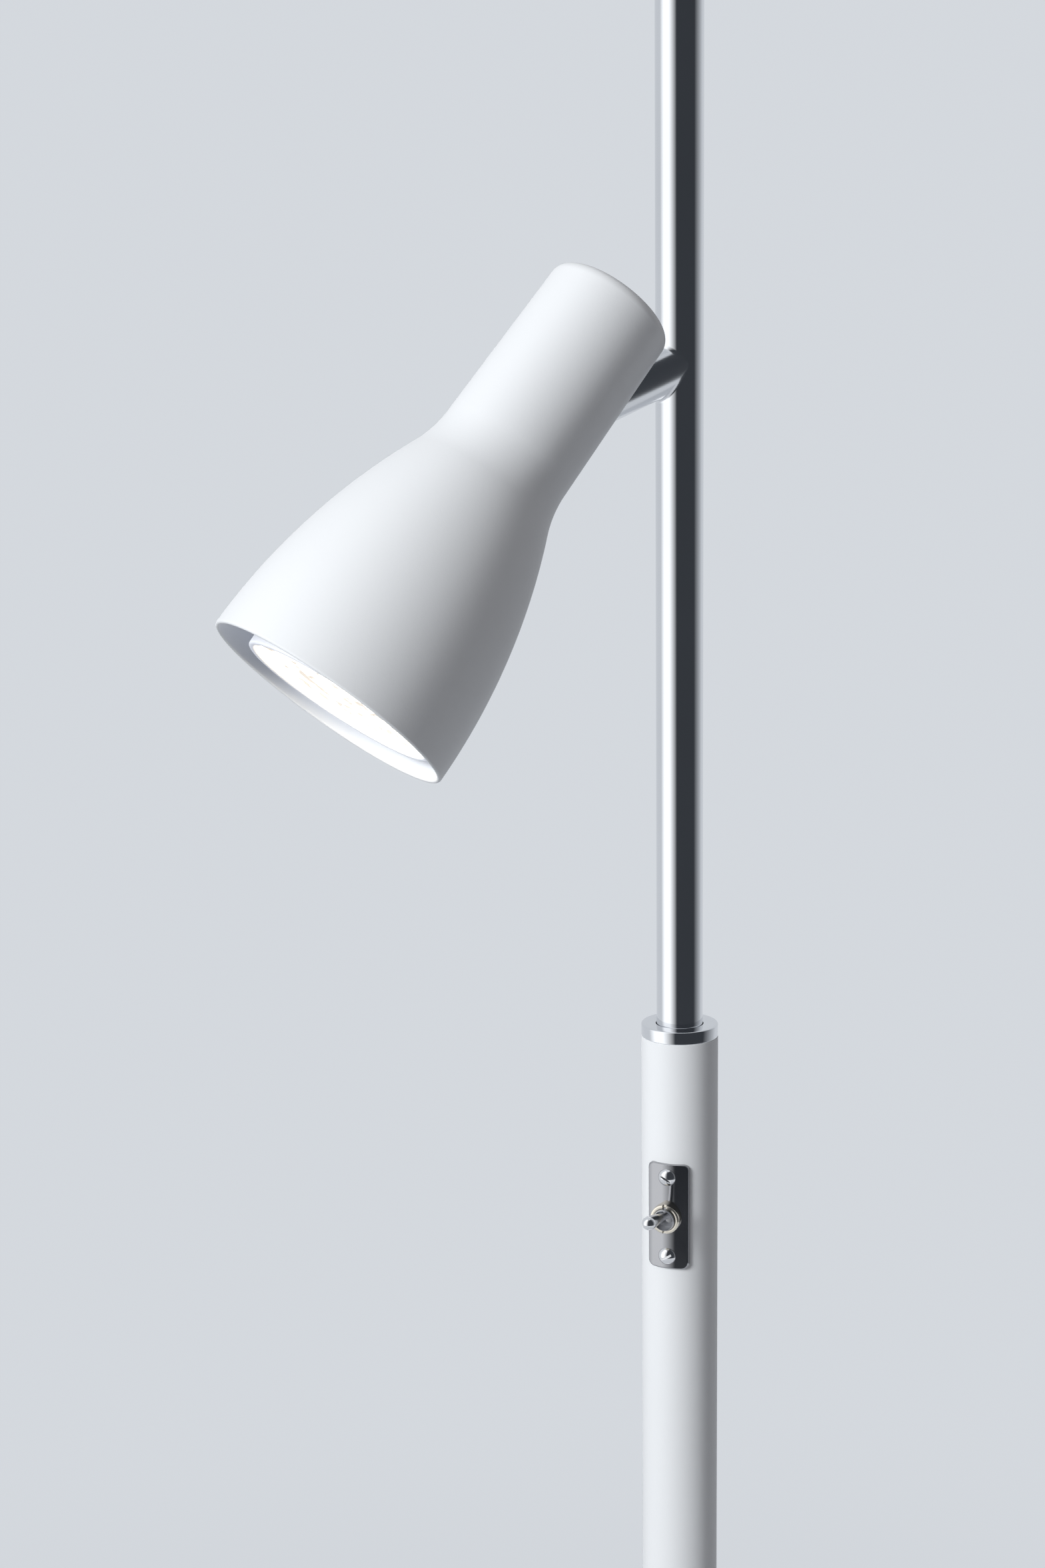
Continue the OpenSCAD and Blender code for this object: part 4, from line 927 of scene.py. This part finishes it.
def shade():
    """The turned section with the arm's slot cut out of the neck on the pole's side."""
    outer, inner = shade_line(0.0), shade_line(SHADE_WALL)
    lip = arc((MOUTH_R - SHADE_WALL / 2, SHADE_LEN), SHADE_WALL / 2, 15, 165, 8)
    piece = turned_piece("shade_white", np.concatenate([outer, lip, inner[::-1]]), HEAD, 200)
    half, deep = SLOT_W / 2, SLOT_LOW - SLOT_W / 2
    end = arc((0, deep), half, 0, 180, 20)
    outline = np.concatenate([[(half, -4)], end, [(-half, -4)]])
    ends = [(0.0, -NECK_R - 3), (1.0, -NECK_R - 3), (1.0, -SLOT_IN), (0.0, -SLOT_IN)]
    middle = np.array([0, deep / 2])
    tool = np.stack([np.column_stack([middle[0] + (outline[:, 0] - middle[0]) * k, np.full(len(outline), y),
                                      middle[1] + (outline[:, 1] - middle[1]) * k]) for k, y in ends])
    cut(piece, [make_piece("slot", [(tool, False, True)], HEAD)])
    true_normals(piece, HEAD, shade_normals)
    return piece


fit(shade(), "head", "white_paint", "white", "shade")

# %% [markdown]
# ## Inside the head
# The yoke, the tilt pin and the lampholder are seen only through the slot or past the lamp. Their
# solids have the right shapes, so copies of them with joined triangles and a finish are enough.

# %% Hidden metalwork and the lampholder
for node, name, slot, finish in (
        ("yoke", "sheet_yoke", "sheet_steel", "sheet"),
        ("friction_washers", "tilt_washers", "nylon", "nylon"),
        ("tilt_screw", "tilt_pin", "zinc_steel", "zinc"),
        ("tilt_nut", "tilt_pin_nut", "zinc_steel", "zinc"),
        ("lampholder", "ceramic_holder", "ceramic", "ceramic"),
        ("holder_screws", "holder_screw_pair", "zinc_steel", "zinc"),
        ("holder_contacts", "holder_contact_pair", "contact_brass", "brass"),
        ("cap_screw", "cap_centre_screw", "polished_chrome", "chrome")):
    fit(joined(node, name), "head", slot, finish, node)

# %% [markdown]
# ## The lamp
# A standard reflector lamp: a collar that holds two pins, a tulip-shaped shell, and a lens a little
# way behind the rim. The shell's curve is r = r0 + (r1 - r0) sin(t)^1.15.

# %% Shell, rim and base
LAMP_R, LAMP_LEN, LAMP_BASE_R, BASE_H = 25.0, 50.4, 11.5, 8.0
RIM_H, LAMP_WALL, LENS_DEPTH = 7.0, 1.4, 2.2


def shell_line(inset, steps=36):
    """The tulip curve from the base to the rim."""
    t = np.linspace(0, 1, steps + 1)
    across = LAMP_BASE_R - inset + (LAMP_R - LAMP_BASE_R) * np.sin(np.pi / 2 * t) ** 1.15
    return np.stack([across, BASE_H + (LAMP_LEN - RIM_H - BASE_H) * t], -1)


rim = np.concatenate([[(LAMP_R, LAMP_LEN - 3.0)], arc((LAMP_R - 0.6, LAMP_LEN - 0.6), 0.6, 0, 90, 6),
                      arc((LAMP_R - LAMP_WALL + 0.4, LAMP_LEN - 0.4), 0.4, 90, 180, 4)])
tulip = np.concatenate([shell_line(0.0), rim, shell_line(LAMP_WALL)[::-1]])
fit(turned_piece("lamp_tulip", tulip, LAMP, ROUND_COLUMNS, ring=True),
    "lamp", "lamp_plastic", "lamp_plastic", "lamp_shell")
neck_ring = eased([(0, 0, 0), (LAMP_BASE_R, 0, 0.9), (LAMP_BASE_R, BASE_H, 0.05), (0, BASE_H, 0)])
fit(turned_piece("lamp_collar", neck_ring, LAMP, 96), "lamp", "lamp_plastic", "lamp_plastic", "lamp_base")
fit(joined("lamp_pins", "lamp_pin_pair"), "lamp", "zinc_steel", "zinc", "lamp_pins")
fit(joined("lamp_board", "lamp_board_disc"), "lamp", "board_white", "board", "lamp_board")
fit(joined("lamp_leds", "lamp_chips"), "lamp", "led_phosphor", "chips", "lamp_leds")


# %% Lens
def lens_surface():
    """A disc whose face is moulded in shallow rings, sunk by d sin^2(pi r / w), and flat at its rim."""
    radius, rings, depth = LAMP_R - LAMP_WALL - 0.02, 6, 0.25
    r = np.linspace(0, radius, 97)
    wave = depth * (0.5 - 0.5 * np.cos(2 * np.pi * r / (radius * 0.94) * rings)) * (r < radius * 0.94)
    face = LAMP_LEN - LENS_DEPTH - wave
    back = [(radius, LAMP_LEN - LENS_DEPTH - 2.0), (0, LAMP_LEN - LENS_DEPTH - 2.0)]
    return np.concatenate([np.stack([r, face], -1), back])


fit(turned_piece("lamp_front_lens", lens_surface(), LAMP, ROUND_COLUMNS), "lamp", "lens_plastic", "lens", "lamp_lens")

# %% [markdown]
# ## Solids that stay
# What is left is hidden inside the tubes or the lamp. These solids keep their meshes and get a finish.

# %% Finishes for the solids that stay
for node, finish in {
        "guide_bush": "nylon", "switch_body": "red_plastic", "switch_terminals": "brass",
        "spring_seat": "zinc", "seat_pin": "zinc", "plunger_spring": "wire", "plunger_slider": "nylon",
        "pivot_washer": "zinc", "pivot_screw": "zinc"}.items():
    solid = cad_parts[node]
    for index in range(len(solid.material_slots)):
        solid.material_slots[index].material = finishes[finish]
print("finished every solid that stays")

# %% [markdown]
# ## The studio
# A pale floor fades into a pale background, so no horizon cuts the picture. One soft window lights the
# paint from the left, and the rest of the light is a low even fill. Metal and glass show the same pale
# floor and background as the eye does. On a pale ground chrome would lose its edges, so two studio
# props are added that only reflections see: a bright window and a dark flag.

# %% Floor and background
PALE = (0.66, 0.69, 0.73)
FILL = (0.2, 0.2, 0.208)
# The background is seen straight on, in metal and through glass
SEEN_BY = ("Is Camera Ray", "Is Glossy Ray", "Is Transmission Ray")


def glow_of(tree, kind, color):
    """The output of an emission or a background node in one colour."""
    glow = tree.nodes.new(kind)
    glow.inputs["Color"].default_value = color + (1.0,)
    return glow.outputs[0]


def path_mix(tree, paths, others, seen):
    """A shader that is `seen` on the named ray paths and `others` on the rest."""
    light = tree.nodes.new("ShaderNodeLightPath")
    total = light.outputs[paths[0]]
    for name in paths[1:]:
        add = tree.nodes.new("ShaderNodeMath")
        add.operation = "MAXIMUM"
        tree.links.new(total, add.inputs[0])
        tree.links.new(light.outputs[name], add.inputs[1])
        total = add.outputs[0]
    mix = tree.nodes.new("ShaderNodeMixShader")
    tree.links.new(total, mix.inputs[0])
    tree.links.new(others, mix.inputs[1])
    tree.links.new(seen, mix.inputs[2])
    return mix.outputs[0]


def world_light():
    """A pale background for the eye, in metal and through glass, and an even fill for the rest."""
    world = bpy.data.worlds.new("studio")
    world.use_nodes = True
    scene.world = world
    tree = world.node_tree
    tree.nodes.clear()
    fill, pale = (glow_of(tree, "ShaderNodeBackground", color) for color in (FILL, PALE))
    out = tree.nodes.new("ShaderNodeOutputWorld")
    tree.links.new(path_mix(tree, SEEN_BY, fill, pale), out.inputs[0])


def floor():
    """A pale disc that catches shadows near the foot and fades into the background further out."""
    r = np.array([0, 0.5, 1, 2, 4, 8, 16, 30]) * 1000
    disc = turned_piece("floor", np.stack([r, 0 * r - 0.3], -1), POLE, 64)
    finish = Finish("pale_floor", Roughness=0.7, Base_Color=PALE)
    tree = finish.tree
    fill, pale = (glow_of(tree, "ShaderNodeEmission", color) for color in (FILL, PALE))
    away = finish.node("ShaderNodeVectorMath", {"operation": "LENGTH"}, {0: finish.place}, out="Value")
    lit = Wire(finish, finish.shader.outputs[0])
    fades = []
    for glow, near, least in ((fill, 0.8, 0.0), (pale, 0.05, 0.5)):
        share = finish.node("ShaderNodeMapRange", {"interpolation_type": "SMOOTHSTEP"},
                            {"Value": away, "From Min": near, "From Max": 2.4, "To Min": least})
        fades.append(finish.node("ShaderNodeMixShader", None, {0: share, 1: lit, 2: Wire(finish, glow)}).socket)
    tree.links.new(path_mix(tree, SEEN_BY, *fades), finish.output.inputs[0])
    disc.data.materials.append(finish.material)


world_light()
floor()
print("pale background and floor", PALE, "with a fill of", FILL)


# %% Window and flag
WINDOW = (1.3, 1.33, 1.36)
FLAG = (0.042, 0.047, 0.055)
PROP_R, PROP_TOP = 2600, 8400
# By direction from the pole in degrees: pale as the background, but for the window and the flag next to it
PROPS = [(-180, PALE), (-134, PALE), (-112, WINDOW), (-82, WINDOW), (-46, FLAG), (42, FLAG), (100, PALE),
         (180, PALE)]


def reflected_props(stops):
    """A round screen round the pole that only reflections see, with its colours by direction."""
    screen = turned_piece("reflected_props", np.array([(PROP_R, 0), (PROP_R, PROP_TOP)]), POLE, 128)
    finish = Finish("prop_glow")
    x, y = (finish.node("ShaderNodeSeparateXYZ", None, {0: finish.place}, out=k) for k in ("X", "Y"))
    turn = finish.node("ShaderNodeMath", {"operation": "ARCTAN2"}, {0: y, 1: x}) * (180 / math.pi)
    shares = [((angle + 180) / 360, color) for angle, color in stops]
    color = finish.node("ShaderNodeValToRGB", {"stops": shares}, {0: (turn + 180) / 360})
    glow = finish.node("ShaderNodeEmission", None, {"Color": color, "Strength": 1.0})
    finish.tree.links.new(glow.socket, finish.output.inputs[0])
    screen.data.materials.append(finish.material)
    screen.visible_camera = screen.visible_diffuse = screen.visible_shadow = False
    screen.visible_transmission = screen.visible_volume_scatter = False


reflected_props(PROPS)
print("reflected props with", len(PROPS), "stops at", PROP_R, "mm")


# %% Lamps of the studio
def soft_lamp(name, place, aim, width, height, watts, color):
    """An area lamp at a place, turned to face its aim."""
    data = bpy.data.lights.new(name, "AREA")
    data.shape, data.size, data.size_y = "RECTANGLE", width, height
    data.energy, data.color = watts, color
    lamp = bpy.data.objects.new(name, data)
    scene.collection.objects.link(lamp)
    lamp.location = place
    lamp.rotation_euler = (Vector(place) - Vector(aim)).to_track_quat("Z", "Y").to_euler()
    lamp.visible_glossy = lamp.visible_camera = False


HEAD_AIM = (0, -0.05, 1.4)
soft_lamp("window", (0.45, -1.93, 2.12), HEAD_AIM, 0.6, 1.0, 46, (0.96, 0.983, 1.0))
soft_lamp("ceiling_wash", (0.3, 0.1, 3.4), HEAD_AIM, 1.8, 1.8, 4, (1.0, 1.0, 1.0))
soft_lamp("back_wash", (-1.9, 0.9, 1.9), HEAD_AIM, 1.4, 1.4, 10, (1.0, 1.0, 1.0))
